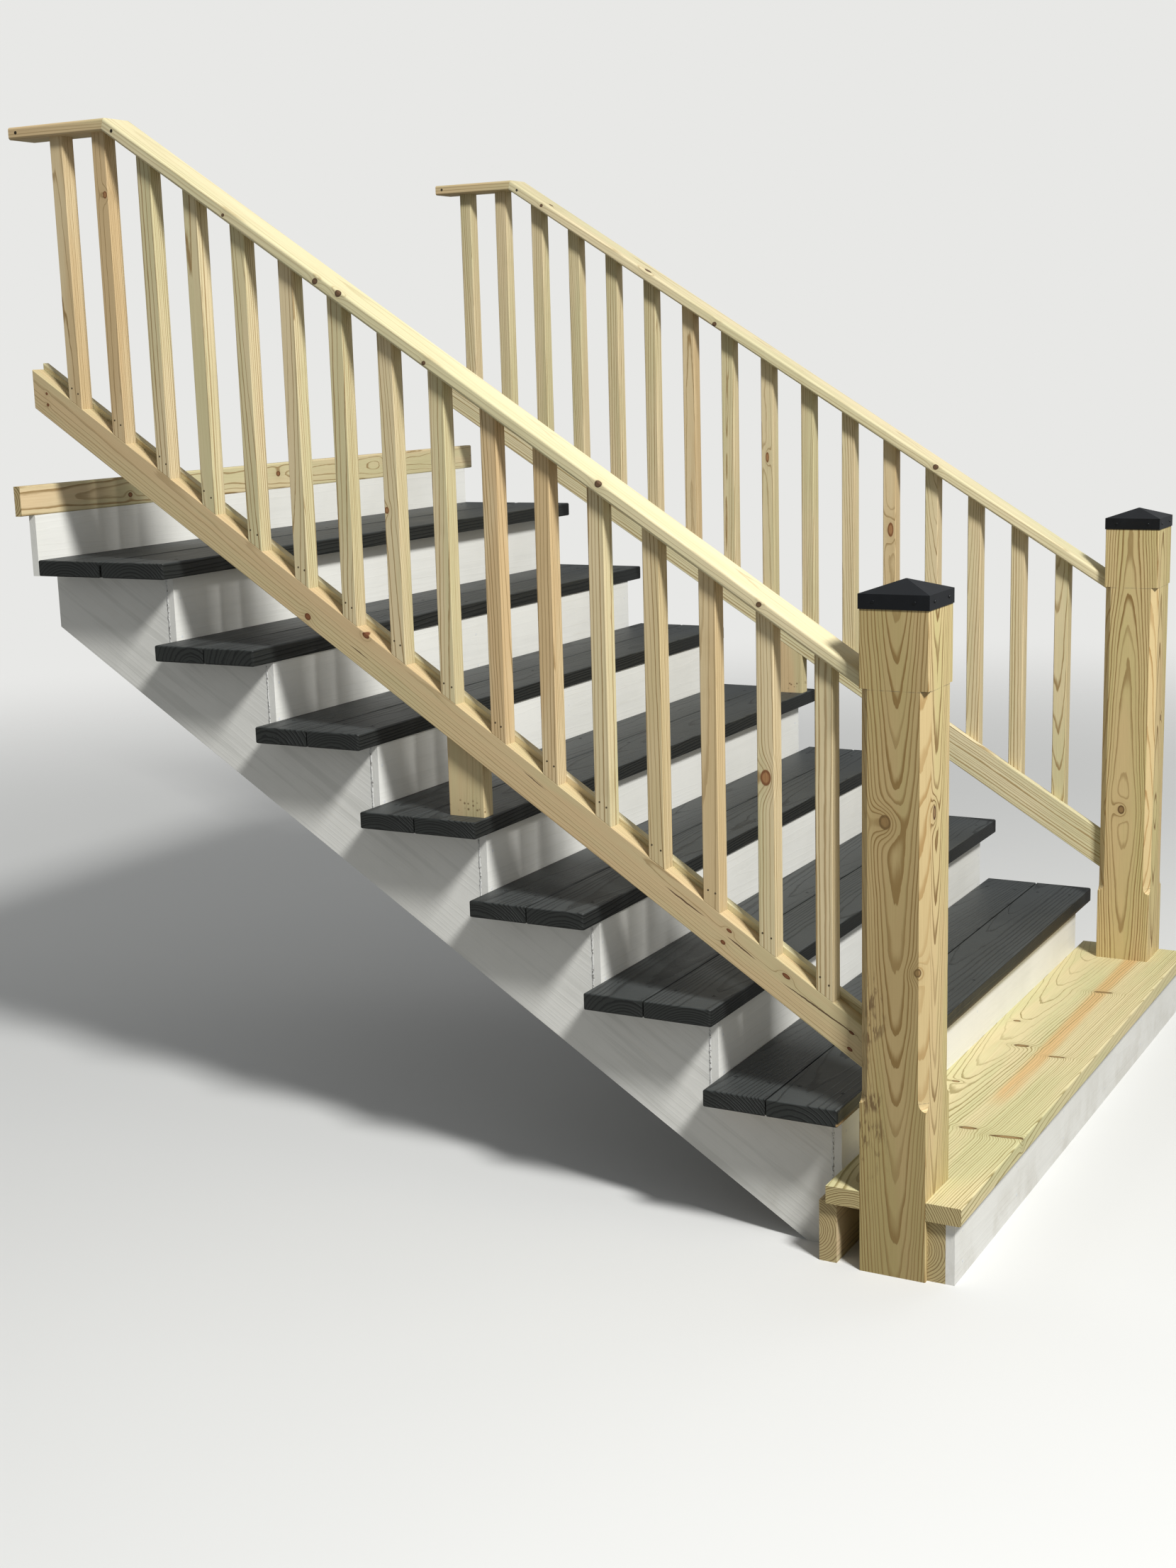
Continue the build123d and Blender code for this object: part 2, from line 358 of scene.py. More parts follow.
    def chance(self, seed: Value, output: str = "Value") -> Wire:
        """Adds a white noise texture, the same for the same seed."""
        return self.add("ShaderNodeTexWhiteNoise", {"noise_dimensions": "3D"}, {"Vector": seed}, output)

    def bump(self, height: Term, distance: Number, strength: Number) -> Wire:
        """Adds a bump node and gives its normal."""
        return self.add("ShaderNodeBump", {}, {"Strength": strength, "Distance": distance, "Height": height})

    def principled(self, **values: Value) -> Wire:
        """Adds a principled shader, with underscores for the spaces in the names of its inputs."""
        return self.add("ShaderNodeBsdfPrincipled", {}, {key.replace("_", " "): values[key] for key in values})

    def close(self, shader: Wire, kind: str = "ShaderNodeOutputMaterial") -> bpy.types.ID:
        """Ends the tree with a shader and gives the material or world."""
        self.node(kind, {}, {"Surface": shader})
        return self.owner


@dataclass(frozen=True)
class Knot:
    """A branch that runs out from the heart of the tree, placed by where it shows on the board.

    Attributes:
        along: Its middle along the board, in metres.
        across: Its middle across the board.
        above: How far above the board's origin it shows.
        size: Its radius in metres.
        long: How many times its radius it reaches along the board.
        wide: How many times its radius it reaches across the board.
        board: The number of the board that holds it, where several boards share a node.
        swirl: How far the rings bend round it, in times its radius.
    """

    along: float
    across: float = 0.0
    above: float = 0.019
    size: float = 0.008
    long: float = 1.35
    wide: float = 1.0
    board: int | None = None
    swirl: float = 1.1


@dataclass(frozen=True)
class Lie:
    """How a board lies in the tree that it was sawn from.

    Attributes:
        run: The direction of the grain.
        face: The direction across the board that points at its wide face.
        heart: Where the heart of the tree passes, across and above the board's origin, in metres.
        origin: A point on the board.
        repeat: Direction, start and pitch of boards that share a node, each with its own figure.
        knots: The knots in the board.
        ring: The distance from one year's ring to the next, in metres.
        sway: How far the tree's slow bends move the rings, in metres.
        taper: How much wider the rings are for each metre along the board.
        ripple: How far short swellings of the trunk move the rings, in metres.
        whorl: Where the taper turns round at a ring of branches, if it does.
    """

    run: Triple
    face: Triple
    heart: Pair = (0.0, -0.05)
    origin: Triple = (0.0, 0.0, 0.0)
    repeat: tuple[Triple, float, float] | None = None
    knots: tuple[Knot, ...] = ()
    ring: float = 0.0055
    sway: float = 0.014
    taper: float = 0.008
    ripple: float = 0.0016
    whorl: float | None = None


class Grain:
    """The figure of solid wood: yearly rings round a heart, bent by knots and cut by the board's faces.

    Attributes:
        along: How far the point is along the grain from the board's origin, in metres.
        across: How far it is across the board.
        above: How far it is towards the board's wide face.
        number: The number of the board that it is in, where several boards share a node.
        shift: What sets the noises of one board apart from another's.
        sway: A slow noise along the board.
        late: How dark the year's ring is, from 0 in spring growth to 1 at the end of summer.
        year_tone: A random number for each year.
        knot: One inside a knot.
        knot_ring: One inside a knot's dark rim.
        halo: How close a knot is, from 1 at its middle to 0 away from it.
        fibre: Fine streaks along the grain.
        end: One on the sawn ends.
    """

    SEED_SHIFT: float = 3.7
    ROW_SHIFT: float = 23.0
    ROW_HEART: Pair = (0.12, 0.08)
    ROW_LEAN: float = 0.05
    BRANCH_RISE: float = 0.16
    BULGE_REACH: float = 2.2
    YEARS_WAVES: float = 46.0
    YEARS_WANDER: float = 2.6

    def __init__(self, graph: Graph, lie: Lie, seed: float) -> None:
        """Builds the figure's nodes.

        Args:
            graph: The material's graph.
            lie: How the board lies in the tree.
            seed: A number that sets this board apart from others.
        """
        run = Vector(lie.run).normalized()
        face = (Vector(lie.face) - run * Vector(lie.face).dot(run)).normalized()
        side = face.cross(run).normalized()
        place = graph.vector("SUBTRACT", graph.place, lie.origin)
        self.graph = graph
        self.along = graph.dot(place, tuple(run))
        self.across = graph.dot(place, tuple(side))
        self.above = graph.dot(place, tuple(face))
        self.number: Wire | None = None
        self.shift: Term = seed * self.SEED_SHIFT
        heart: tuple[Term, Term] = lie.heart
        ring: Term = lie.ring
        if lie.repeat is not None:
            heart, ring = self.pick_board(lie, side, face, seed)
        slow = graph.noise(1.6, 3.0, 0.4, self.drawn_out(0.55, 2.0), "Color")
        sway_u, sway_v, self.sway = graph.split(slow)
        u = self.across - heart[0] + (sway_u - 0.5) * lie.sway
        v = self.above - heart[1] + (sway_v - 0.5) * lie.sway
        swell = self.streaks(4.2, 5.0, 2.0)
        widening = self.along if lie.whorl is None else -abs(self.along - lie.whorl)
        radius = (u * u + v * v).root() - widening * lie.taper + (swell - 0.5) * (lie.ripple * 2.0)
        self.knot: Term = 0.0
        self.knot_ring: Term = 0.0
        self.halo: Term = 0.0
        for knot in lie.knots:
            radius = radius + self.grow_knot(knot, lie, u, v)
        years = graph.noise(1.0, 2.0, at=graph.join(radius * self.YEARS_WAVES, self.shift, 0.0))
        fine = self.streaks(9.0, 60.0, 3.0, 0.6)
        rings = radius / ring + (fine - 0.5) * 0.5 + (years - 0.5) * self.YEARS_WANDER
        year = rings.fract()
        slant = (graph.dot(graph.normal, tuple(side)) * u + graph.dot(graph.normal, tuple(face)) * v) / radius
        flat = abs(slant).least(1.0) ** 6.0
        rise = (year - 0.5 - flat * 0.32) / (0.36 - flat * 0.24)
        self.late = rise.step(0.0, 1.0) * year.step(1.0, 0.95)
        self.year_tone = graph.chance(graph.join(rings.floor(), seed, self.shift))
        self.fibre = self.streaks(7.0, 700.0, 3.0, 0.62)
        self.end = abs(graph.dot(graph.normal, tuple(run))).step(0.78, 0.93)

    def pick_board(self, lie: Lie, side: Vector, face: Vector, seed: float) -> tuple[tuple[Term, Term], Term]:
        """Finds which board of a row the point is in and cuts that board from its own part of the tree.

        Args:
            lie: How the boards lie in the tree.
            side: The direction across the boards.
            face: The direction of their wide faces.
            seed: A number that sets this row apart from others.

        Returns:
            Where the heart passes across and above the board, and the distance between its rings.
        """
        graph = self.graph
        way, start, pitch = lie.repeat
        self.number = ((graph.dot(graph.place, way) - start) / pitch).floor()
        first, second, third = graph.split(graph.chance(graph.join(self.number, seed, 0.5), "Color"))
        inside = graph.dot(graph.place, way) - ((self.number + 0.5) * pitch + start)
        if abs(side.dot(Vector(way))) > 0.5:
            self.across = inside * math.copysign(1.0, side.dot(Vector(way)))
        elif abs(face.dot(Vector(way))) > 0.5:
            self.above = inside * math.copysign(1.0, face.dot(Vector(way)))
        self.shift = third * self.ROW_SHIFT + seed * self.SEED_SHIFT
        spread_u, spread_v = self.ROW_HEART
        heart_u = (first - 0.5) * spread_u + lie.heart[0] + self.along * (second - 0.5) * self.ROW_LEAN
        heart_v = (second - 0.5) * spread_v + lie.heart[1] + self.along * (third - 0.5) * self.ROW_LEAN
        return (heart_u, heart_v), (second * 0.8 + 0.7) * lie.ring

    def grow_knot(self, knot: Knot, lie: Lie, u: Wire, v: Wire) -> Wire:
        """Adds a knot to the masks.

        Args:
            knot: The knot.
            lie: How the board lies in the tree.
            u: How far the point is from the heart, across the board.
            v: How far it is from the heart, towards the board's wide face.

        Returns:
            How far the knot pushes the rings out, in metres.
        """
        if knot.board is None:
            way = Vector((knot.across - lie.heart[0], knot.above - lie.heart[1]))
            reach = way.length
            way.normalize()
            out = u * way.x + v * way.y
            sideways = v * way.x - u * way.y
            near = out > 0.0
            lengthways = self.along - knot.along - (out - reach) * self.BRANCH_RISE
        else:
            sideways = self.across - knot.across
            near = abs(self.number - knot.board) < 0.5
            lengthways = self.along - knot.along
        lengthways = lengthways / knot.long
        sideways = sideways / knot.wide
        spread = (lengthways * lengthways + sideways * sideways).root()
        bulge = (-(spread / (knot.size * self.BULGE_REACH)) ** 2.0).exp() * near
        mask = spread.step(knot.size * 1.08, knot.size * 0.9) * near
        self.knot = mask + self.knot
        self.knot_ring = spread.step(knot.size * 0.78, knot.size * 0.5) * mask + self.knot_ring
        self.halo = bulge + self.halo
        return bulge * knot.size * knot.swirl

    def drawn_out(self, lengthways: Number, sideways: Number, start: Term | None = None) -> Wire:
        """The point in a space that is drawn out along the grain.

        Args:
            lengthways: Units to the metre along the grain.
            sideways: Units to the metre across it.
            start: Where the board starts in that space, or nothing for the board's own place.

        Returns:
            The point.
        """
        begin = self.shift if start is None else start
        return self.graph.join(self.along * lengthways + begin, self.across * sideways, self.above * sideways)

    def streaks(self, lengthways: Number, sideways: Number, detail: Number, roughness: Number = 0.5,
                start: Term | None = None) -> Wire:
        """Noise that is drawn out along the grain."""
        return self.graph.noise(1.0, detail, roughness, self.drawn_out(lengthways, sideways, start))


@dataclass(frozen=True)
class Check:
    """A crack that opened along the grain as the board dried.

    Attributes:
        along: Where it starts, in metres along the board.
        across: Where it starts across the board.
        length: Its length.
        drift: How far across it ends from where it started.
        width: Its widest opening.
    """

    along: float
    across: float
    length: float
    drift: float = 0.0
    width: float = 0.0022

    def opening(self, grain: Grain) -> Wire:
        """Draws the crack.

        Args:
            grain: The board's figure.

        Returns:
            One inside the crack and zero outside it.
        """
        share = (grain.along - self.along) / self.length
        ragged = (grain.graph.noise(45.0, 3.0) - 0.5) * 0.004
        off = abs(grain.across - self.across - share * self.drift + ragged)
        taper = share * (1.0 - share) * 4.0
        return (off - taper * self.width * 0.5).step(0.0003, -0.0003) * taper.step(0.0, 0.08)


@dataclass(frozen=True)
class PineTones:
    """The colours of treated pine and of what lies on it.

    Attributes:
        early: The pale wood of spring growth.
        late: The dark line of summer growth.
        heartwood: The orange wood near the heart.
        streak: An orange streak along the board.
        knot: The dark rim of a knot.
        branch: The wood inside a knot.
        green: The cast that the treatment leaves.
        fresh: Spring growth that was cut after the treatment.
        fresh_late: Summer growth that was cut after the treatment.
        fibre: The fine streaks along the grain.
        end_early: Spring growth on the sawn ends.
        end_late: Summer growth on the sawn ends.
        film: The brown film from handling, partly dirt and partly painted shade on the faces that point along -X.
        fleck: The dark flecks down one side.
        pencil: Pencilled lines.
        spot: The small dark spots.
        crack: The inside of a crack.
        grime: The faint dirt all over.
    """

    early: Colour = srgb(218, 202, 162)
    late: Colour = srgb(152, 126, 84)
    heartwood: Colour = srgb(210, 164, 120)
    streak: Colour = srgb(216, 170, 112)
    knot: Colour = srgb(98, 60, 36)
    branch: Colour = srgb(142, 100, 62)
    green: Colour = srgb(200, 193, 148)
    fresh: Colour = srgb(222, 199, 148)
    fresh_late: Colour = srgb(180, 144, 92)
    fibre: Colour = srgb(150, 122, 74)
    end_early: Colour = srgb(182, 164, 116)
    end_late: Colour = srgb(122, 98, 58)
    film: Colour = srgb(136, 112, 66)
    fleck: Colour = srgb(92, 66, 42)
    pencil: Colour = srgb(92, 88, 78)
    spot: Colour = srgb(96, 66, 36)
    crack: Colour = srgb(66, 34, 20)
    grime: Colour = srgb(140, 120, 76)


STEP_TONES = PineTones(early=srgb(216, 203, 158), green=srgb(198, 196, 146), late=srgb(146, 132, 84),
                       knot=srgb(104, 82, 48), branch=srgb(158, 130, 84))
POST_TONES = PineTones(early=srgb(212, 193, 142), green=srgb(198, 186, 128), late=srgb(134, 106, 62),
                       knot=srgb(84, 58, 36), branch=srgb(150, 120, 80))
PALE_TONES = PineTones(early=srgb(226, 213, 174), green=srgb(208, 202, 160), late=srgb(170, 148, 104),
                       knot=srgb(84, 64, 46), branch=srgb(110, 84, 60))
TAN_TONES = PineTones(early=srgb(208, 189, 146), green=srgb(198, 187, 142), knot=srgb(104, 62, 38),
                      branch=srgb(132, 86, 54))
BALUSTER_TONES = PineTones(heartwood=srgb(204, 154, 106), knot=srgb(124, 82, 50), branch=srgb(168, 126, 84))


@dataclass(frozen=True)
class TreatedPine:
    """Unpainted pressure-treated pine, new, with a green cast and clear rings.

    Attributes:
        tones: Its colours.
        warmth: How much of it is orange.
        contrast: How strongly the rings show.
        pencil: Heights of pencilled lines, and how far from the middle each begins.
        streak: The middle and the width of an orange streak along the board.
        streak_start: Where along the board the streak begins and where it is full.
        checks: Its cracks.
        stain: The lower and upper height of a patch of small dark spots.
        fresh_cut: Whether its slanting faces were cut after the treatment.
        dirt_and_shade: How much brown film lies on the faces that point along -X: partly dirt, partly painted
            shade that darkens those faces.
        flecks: The lower and upper height of dark flecks down one side.
        warm_boards: Numbers of the orange boards in a row of boards, each with how orange it is.
    """

    tones: PineTones = PineTones()
    warmth: float = 0.25
    contrast: float = 0.8
    pencil: tuple[Pair, ...] = ()
    streak: Pair | None = None
    streak_start: Pair = (-0.42, -0.28)
    checks: tuple[Check, ...] = ()
    stain: Pair | None = None
    fresh_cut: bool = False
    dirt_and_shade: float = 0.0
    flecks: Pair | None = None
    warm_boards: tuple[tuple[int, float], ...] = ()

    def early_wood(self, grain: Grain) -> Wire:
        """Mixes the colour between the dark rings.

        Args:
            grain: The board's figure.

        Returns:
            The colour, with the green cast and the orange parts.
        """
        graph = grain.graph
        patch = grain.streaks(1.5, 12.0, 3.0, 0.55)
        early = graph.blend(patch.step(0.36, 0.66) * 0.75, self.tones.early, self.tones.green)
        warm = patch.step(0.6, 0.3) * self.warmth
        for number, amount in self.warm_boards:
            warm = warm + (abs(grain.number - number) < 0.5) * (patch.step(0.4, 0.58) + 0.3) * amount
        early = graph.blend(warm, early, self.tones.heartwood)
        if self.streak is not None:
            centre, width = self.streak
            drift = abs(grain.across - centre + (grain.sway - 0.5) * 0.03)
            streak = drift.step(width, width * 0.3) * grain.along.step(*self.streak_start)
            early = graph.blend(streak * patch.step(0.25, 0.45) * 0.7, early, self.tones.streak)
        return early

    def marks(self, grain: Grain, lie: Lie, seed: float, cracks: Sequence[Wire]) -> Iterator[tuple[Wire, Colour]]:
        """Draws what lies on the wood, from the lowest layer to the uppermost.

        Args:
            grain: The board's figure.
            lie: How the board lies in the tree.
            seed: A number that sets this board apart.
            cracks: The masks of its cracks.

        Yields:
            A mask and the colour that shows inside it.
        """
        graph = grain.graph
        x, y, z = graph.xyz
        outer = (-graph.facing[0]).step(0.5, 0.9)
        # Brown film on the faces that point along -X: partly dirt, partly painted shade.
        if self.dirt_and_shade > 0.0:
            spread = graph.join(grain.across * 9.0, grain.above * 9.0, grain.along * 1.4 + seed)
            film = graph.noise(1.0, 3.0, 0.6, spread)
            yield outer * (film * 0.7 + 0.65) * self.dirt_and_shade, self.tones.film
        if self.flecks is not None:
            low, high = self.flecks
            flecks = graph.noise(1.0, 3.0, 0.6, graph.stretched(120.0, 120.0, 26.0)).step(0.5, 0.6)
            belt = z.step(low, low + 0.1) * z.step(high, high - 0.1) * (y - lie.origin[1]).step(0.0, 0.04)
            patch = graph.noise(16.0).step(0.38, 0.56)
            yield flecks * belt * patch * outer * 0.72, self.tones.fleck
        if self.pencil:
            wobble = (graph.noise(22.0) - 0.5) * 0.0016
            broken = graph.noise(130.0).step(0.36, 0.56)
            inset = abs(x - lie.origin[0]).least(abs(y - lie.origin[1]))
            for height, reach in self.pencil:
                line = abs(z - height + wobble).step(0.0011, 0.0004) * (inset > reach)
                yield line * broken * 0.5, self.tones.pencil
        if self.stain is not None:
            low, high = self.stain
            spots = graph.speckle(95.0).step(0.34, 0.16) * graph.noise(40.0).step(0.42, 0.6)
            belt = z.step(low, low + 0.006) * z.step(high, high - 0.02)
            yield spots * belt * 0.75, self.tones.spot
        for crack in cracks:
            yield crack * 0.85, self.tones.crack
        yield graph.noise(5.5, 4.0, 0.62).step(0.58, 0.8) * 0.14, self.tones.grime

    def dress(self, name: str, lie: Lie, seed: float) -> bpy.types.Material:
        """Builds the material for one board or one row of like boards.

        Args:
            name: The material's name.
            lie: How the board lies in the tree.
            seed: A number that sets this board apart.

        Returns:
            The material.
        """
        graph = Graph.of_material(name)
        grain = Grain(graph, lie, seed)
        tones = self.tones
        line = grain.late * (grain.year_tone * 0.62 + 0.3) * self.contrast
        colour = graph.blend(line, self.early_wood(grain), tones.late)
        if self.fresh_cut:
            slanting = abs(graph.facing[0]).least(abs(graph.facing[1])).step(0.3, 0.5)
            colour = graph.blend(slanting, colour, graph.blend(line * 0.8, tones.fresh, tones.fresh_late))
        colour = graph.blend((grain.fibre - 0.42) * 0.7, colour, tones.fibre)
        colour = graph.blend(grain.halo * 0.22, colour, tones.late)
        ridge = grain.late * 0.5 + grain.fibre * 0.4
        if lie.knots:
            inside = graph.blend(grain.knot_ring * (grain.fibre * 0.8 + 0.4), tones.knot, tones.branch)
            colour = graph.blend(grain.knot, colour, inside)
            ridge = ridge + grain.knot * 0.5
        colour = graph.blend(grain.end * 0.8, colour, graph.blend(grain.late, tones.end_early, tones.end_late))
        cracks = [check.opening(grain) for check in self.checks]
        for crack in cracks:
            ridge = ridge - crack * 1.6
        for mask, tone in self.marks(grain, lie, seed, cracks):
            colour = graph.blend(mask, colour, tone)
        rough = grain.fibre * 0.16 + 0.58 - grain.late * 0.08
        return graph.close(graph.principled(
            Base_Color=colour, Roughness=rough, Normal=graph.bump(ridge, 0.0006, 0.5), Specular_IOR_Level=0.3))


@dataclass(frozen=True)
class DeckPaint:
    """Charcoal deck paint on softwood, brushed on thickly enough to round the edges but not to hide the grain.

    Attributes:
        tone: The paint on the top.
        paled: The same paint where weather has paled it.
        side: The paint on the edges, made darker than on the top as painted shade.
        worn: Where feet have rubbed it.
        groove_shade: Painted shade where the paint sinks between the rings.
        end_highlight: A painted highlight on the spring growth of the painted ends.
        dust: Dust in the brush marks.
        bare_early: Unpainted spring growth.
        bare_late: Unpainted summer growth.
        bare: Whether the underside is bare and the paint thins out at the lower edge of the nose.
    """

    tone: Colour = srgb(54, 57, 56)
    paled: Colour = srgb(68, 71, 70)
    side: Colour = srgb(31, 33, 31)
    worn: Colour = srgb(86, 88, 86)
    groove_shade: Colour = srgb(27, 29, 28)
    end_highlight: Colour = srgb(58, 61, 58)
    dust: Colour = srgb(128, 126, 118)
    bare_early: Colour = srgb(160, 132, 90)
    bare_late: Colour = srgb(124, 94, 58)
    bare: bool = False

    @staticmethod
    def unpainted(graph: Graph, front: float, underside: float) -> Wire:
        """Finds where the wood is bare: the underside, and a thin band under the nose.

        Args:
            graph: The material's graph.
            front: Where the tread's front edge is along Y, in metres.
            underside: Where its underside is along Z, in metres.

        Returns:
            One where the wood is bare.
        """
        x, y, z = graph.xyz
        left_end = x.step(-0.84, -0.9) * 0.7 + 0.12
        drip = graph.noise(1.0, 4.0, 0.65, graph.stretched(11.0, 0.0, 0.0))
        edge = z - underside - 0.003 - drip * 0.01
        nose = (-graph.facing[1]).step(0.2, 0.6) * (y - front - 0.02 < 0.0)
        return (edge.step(0.0025, -0.0025) * nose * left_end).most((-graph.facing[2]).step(0.97, 0.995))

    def dress(self, name: str, lie: Lie, seed: float, front: float, underside: float) -> bpy.types.Material:
        """Builds the material for one tread.

        Args:
            name: The material's name.
            lie: How the boards lie in the tree.
            seed: A number that sets this tread apart.
            front: Where the tread's front edge is along Y, in metres.
            underside: Where its underside is along Z, in metres.

        Returns:
            The material.
        """
        graph = Graph.of_material(name)
        grain = Grain(graph, lie, seed)
        x, y, z = graph.xyz
        cloud = graph.noise(3.2, 5.0, 0.6)
        film = graph.noise(1.0, 4.0, 0.6, graph.stretched(7.0, 36.0, 36.0))
        scuff = graph.noise(1.0, 5.0, 0.7, graph.join(x * 4.0 + seed, y * 52.0, z)).step(0.6, 0.76)
        up = graph.facing[2].step(0.3, 0.85)
        top = graph.blend(cloud.step(0.35, 0.7) * 0.6 + film * 0.15, self.tone, self.paled)
        # Faces that do not point up take the darker edge colour: painted shade.
        colour = graph.blend(up, self.side, top)
        colour = graph.blend(scuff * up * 0.3, colour, self.worn)
        # Painted shade along the rings, in the grooves of the grain.
        colour = graph.blend(grain.late * 0.7, colour, self.groove_shade)
        # Painted highlight on the spring growth of the ends.
        colour = graph.blend(grain.end * (1.0 - grain.late) * 0.4, colour, self.end_highlight)
        dust = graph.speckle(240.0).step(0.14, 0.05) * graph.noise(16.0).step(0.52, 0.7)
        colour = graph.blend(dust * up * 0.3, colour, self.dust)
        brush = graph.noise(1.0, 2.0, 0.6, graph.stretched(16.0, 260.0, 260.0))
        ridge = grain.late * 1.2 + film * 0.8 + grain.fibre * 0.3 + brush * 0.2 + graph.noise(38.0, 3.0) * 0.5
        rough = cloud * 0.2 + 0.4 + scuff * 0.15
        if self.bare:
            bare = self.unpainted(graph, front, underside)
            colour = graph.blend(bare, colour, graph.blend(grain.late, self.bare_early, self.bare_late))
            rough = rough + bare * 0.2
        return graph.close(graph.principled(
            Base_Color=colour, Roughness=rough, Normal=graph.bump(ridge, 0.0012, 0.65), Specular_IOR_Level=0.35))


@dataclass(frozen=True)
class WhitePaint:
    """White exterior paint brushed over boards, with the grain and the brush just showing.

    Attributes:
        tone: The paint.
        shade: Where it lies thinner.
        stroke: The fine brush marks.
        band: The broad brush marks.
        thin: The wood that shows through.
        fleck: Small specks of dirt.
        gap: The gaps in a rough bead of filler.
        soil: What rain has splashed up.
        torn: How dark the gaps in a rough bead of filler are.
        brushed: How strongly the broad brush marks show.
    """

    tone: Colour = srgb(234, 233, 226)
    shade: Colour = srgb(220, 219, 211)
    stroke: Colour = srgb(212, 213, 208)
    band: Colour = srgb(204, 204, 196)
    thin: Colour = srgb(206, 200, 180)
    fleck: Colour = srgb(160, 154, 140)
    gap: Colour = srgb(98, 94, 86)
    soil: Colour = srgb(168, 160, 140)
    torn: float = 0.0
    brushed: float = 0.12

    def dress(self, name: str, lie: Lie, seed: float, splash: float | None = None) -> bpy.types.Material:
        """Builds the material for one painted board.

        Args:
            name: The material's name.
            lie: How the board lies in the tree.
            seed: A number that sets this board apart.
            splash: The height below which rain has dulled the paint, if any.

        Returns:
            The material.
        """
        graph = Graph.of_material(name)
        grain = Grain(graph, lie, seed)
        brush = grain.streaks(10.0, 240.0, 2.0, 0.6, seed)
        bands = grain.streaks(2.2, 42.0, 3.0, 0.6, seed)
        colour = graph.blend(graph.noise(2.4, 5.0, 0.6).step(0.4, 0.72) * 0.6, self.tone, self.shade)
        colour = graph.blend(brush.step(0.55, 0.75) * 0.2, colour, self.stroke)
        colour = graph.blend(bands.step(0.5, 0.66) * self.brushed, colour, self.band)
        thin = grain.late * graph.noise(6.0, 3.0).step(0.5, 0.72)
        colour = graph.blend(thin * 0.12, colour, self.thin)
        fleck = graph.speckle(70.0).step(0.07, 0.02) * graph.noise(7.0).step(0.6, 0.72)
        colour = graph.blend(fleck * 0.35, colour, self.fleck)
        rough = brush * 0.14 + 0.4
        if self.torn > 0.0:
            gaps = graph.noise(210.0, 3.0, 0.6).step(0.5, 0.6)
            colour = graph.blend(gaps * self.torn, colour, self.gap)
        if splash is not None:
            soil = (graph.xyz[2] - splash).step(0.02, -0.1) * graph.noise(9.0, 5.0, 0.65).step(0.4, 0.7)
            colour = graph.blend(soil * 0.3, colour, self.soil)
            rough = rough + soil * 0.2
        ridge = grain.late * 0.3 + brush * 0.35 + graph.noise(30.0, 3.0) * 0.3
        return graph.close(graph.principled(
            Base_Color=colour, Roughness=rough, Normal=graph.bump(ridge, 0.0006, 0.5), Specular_IOR_Level=0.4))


@dataclass(frozen=True)
class BlackCoat:
    """Black powder coat on thin pressed metal.

    Attributes:
        tone: The coat.
        bloom: Where it has gone dull.
        dust: Dust on the faces that point up.
    """

    tone: Colour = srgb(10, 12, 15)
    bloom: Colour = srgb(22, 25, 29)
    dust: Colour = srgb(120, 118, 108)

    def dress(self, name: str) -> bpy.types.Material:
        """Builds the material.

        Args:
            name: The material's name.

        Returns:
            The material.
        """
        graph = Graph.of_material(name)
        peel = graph.noise(620.0)
        haze = graph.noise(24.0, 4.0, 0.6)
        colour = graph.blend(haze.step(0.45, 0.75) * 0.35, self.tone, self.bloom)
        dust = graph.speckle(700.0).step(0.2, 0.06) * haze.step(0.5, 0.66)
        colour = graph.blend(dust * graph.facing[2].step(0.3, 0.9) * 0.25, colour, self.dust)
        return graph.close(graph.principled(
            Base_Color=colour, Roughness=haze * 0.16 + 0.3, Normal=graph.bump(peel, 0.00025, 0.5),
            Specular_IOR_Level=0.4))


@dataclass(frozen=True)
class ScrewMetal:
    """Coated steel of screws and nails in bare wood, dull and a little stained.

    Attributes:
        tone: The coat.
        stain: Its stains.
        metal: How metallic it is.
    """

    tone: Colour = srgb(112, 98, 74)
    stain: Colour = srgb(60, 48, 36)
    metal: float = 0.6

    def dress(self, name: str) -> bpy.types.Material:
        """Builds the material.

        Args:
            name: The material's name.

        Returns:
            The material.
        """
        graph = Graph.of_material(name)
        stain = graph.noise(900.0, 3.0, 0.6)
        colour = graph.blend(stain.step(0.35, 0.7) * 0.6, self.tone, self.stain)
        return graph.close(graph.principled(
            Base_Color=colour, Roughness=stain * 0.3 + 0.35, Metallic=self.metal,
            Normal=graph.bump(stain, 0.0002, 0.4)))


def wear(node: str, material: bpy.types.Material) -> None:
    """Gives a node of the frame its finish.

    Args:
        node: The node's name.
        material: The finish for all its faces.
    """
    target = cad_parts[node]
    if not target.material_slots:
        target.data.materials.append(material)
    for slot in target.material_slots:
        slot.material = material
    log.info("%s dressed", node)


def make_piece(name: str, mesh: bmesh.types.BMesh, material: bpy.types.Material,
               smooth: bool = False) -> bpy.types.Object:
    """Turns a mesh into a piece of the object.

    Args:
        name: The piece's name.
        mesh: The mesh, in metres in the part's own frame, freed here.
        material: Its finish.
        smooth: Whether its faces are shaded smooth.

    Returns:
        The piece.
    """
    data = bpy.data.meshes.new(name)
    bmesh.ops.recalc_face_normals(mesh, faces=mesh.faces)
    mesh.to_mesh(data)
    mesh.free()
    for polygon in data.polygons:
        polygon.use_smooth = smooth
    piece = bpy.data.objects.new(name, data)
    bpy.context.scene.collection.objects.link(piece)
    data.materials.append(material)
    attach(piece, "root")
    log.info("%s built with %d faces", name, len(data.polygons))
    return piece


class Drive(Enum):
    """The recess in a fastener's head, by how many points it has."""

    STAR = 6
    CROSS = 4
    NONE = 0


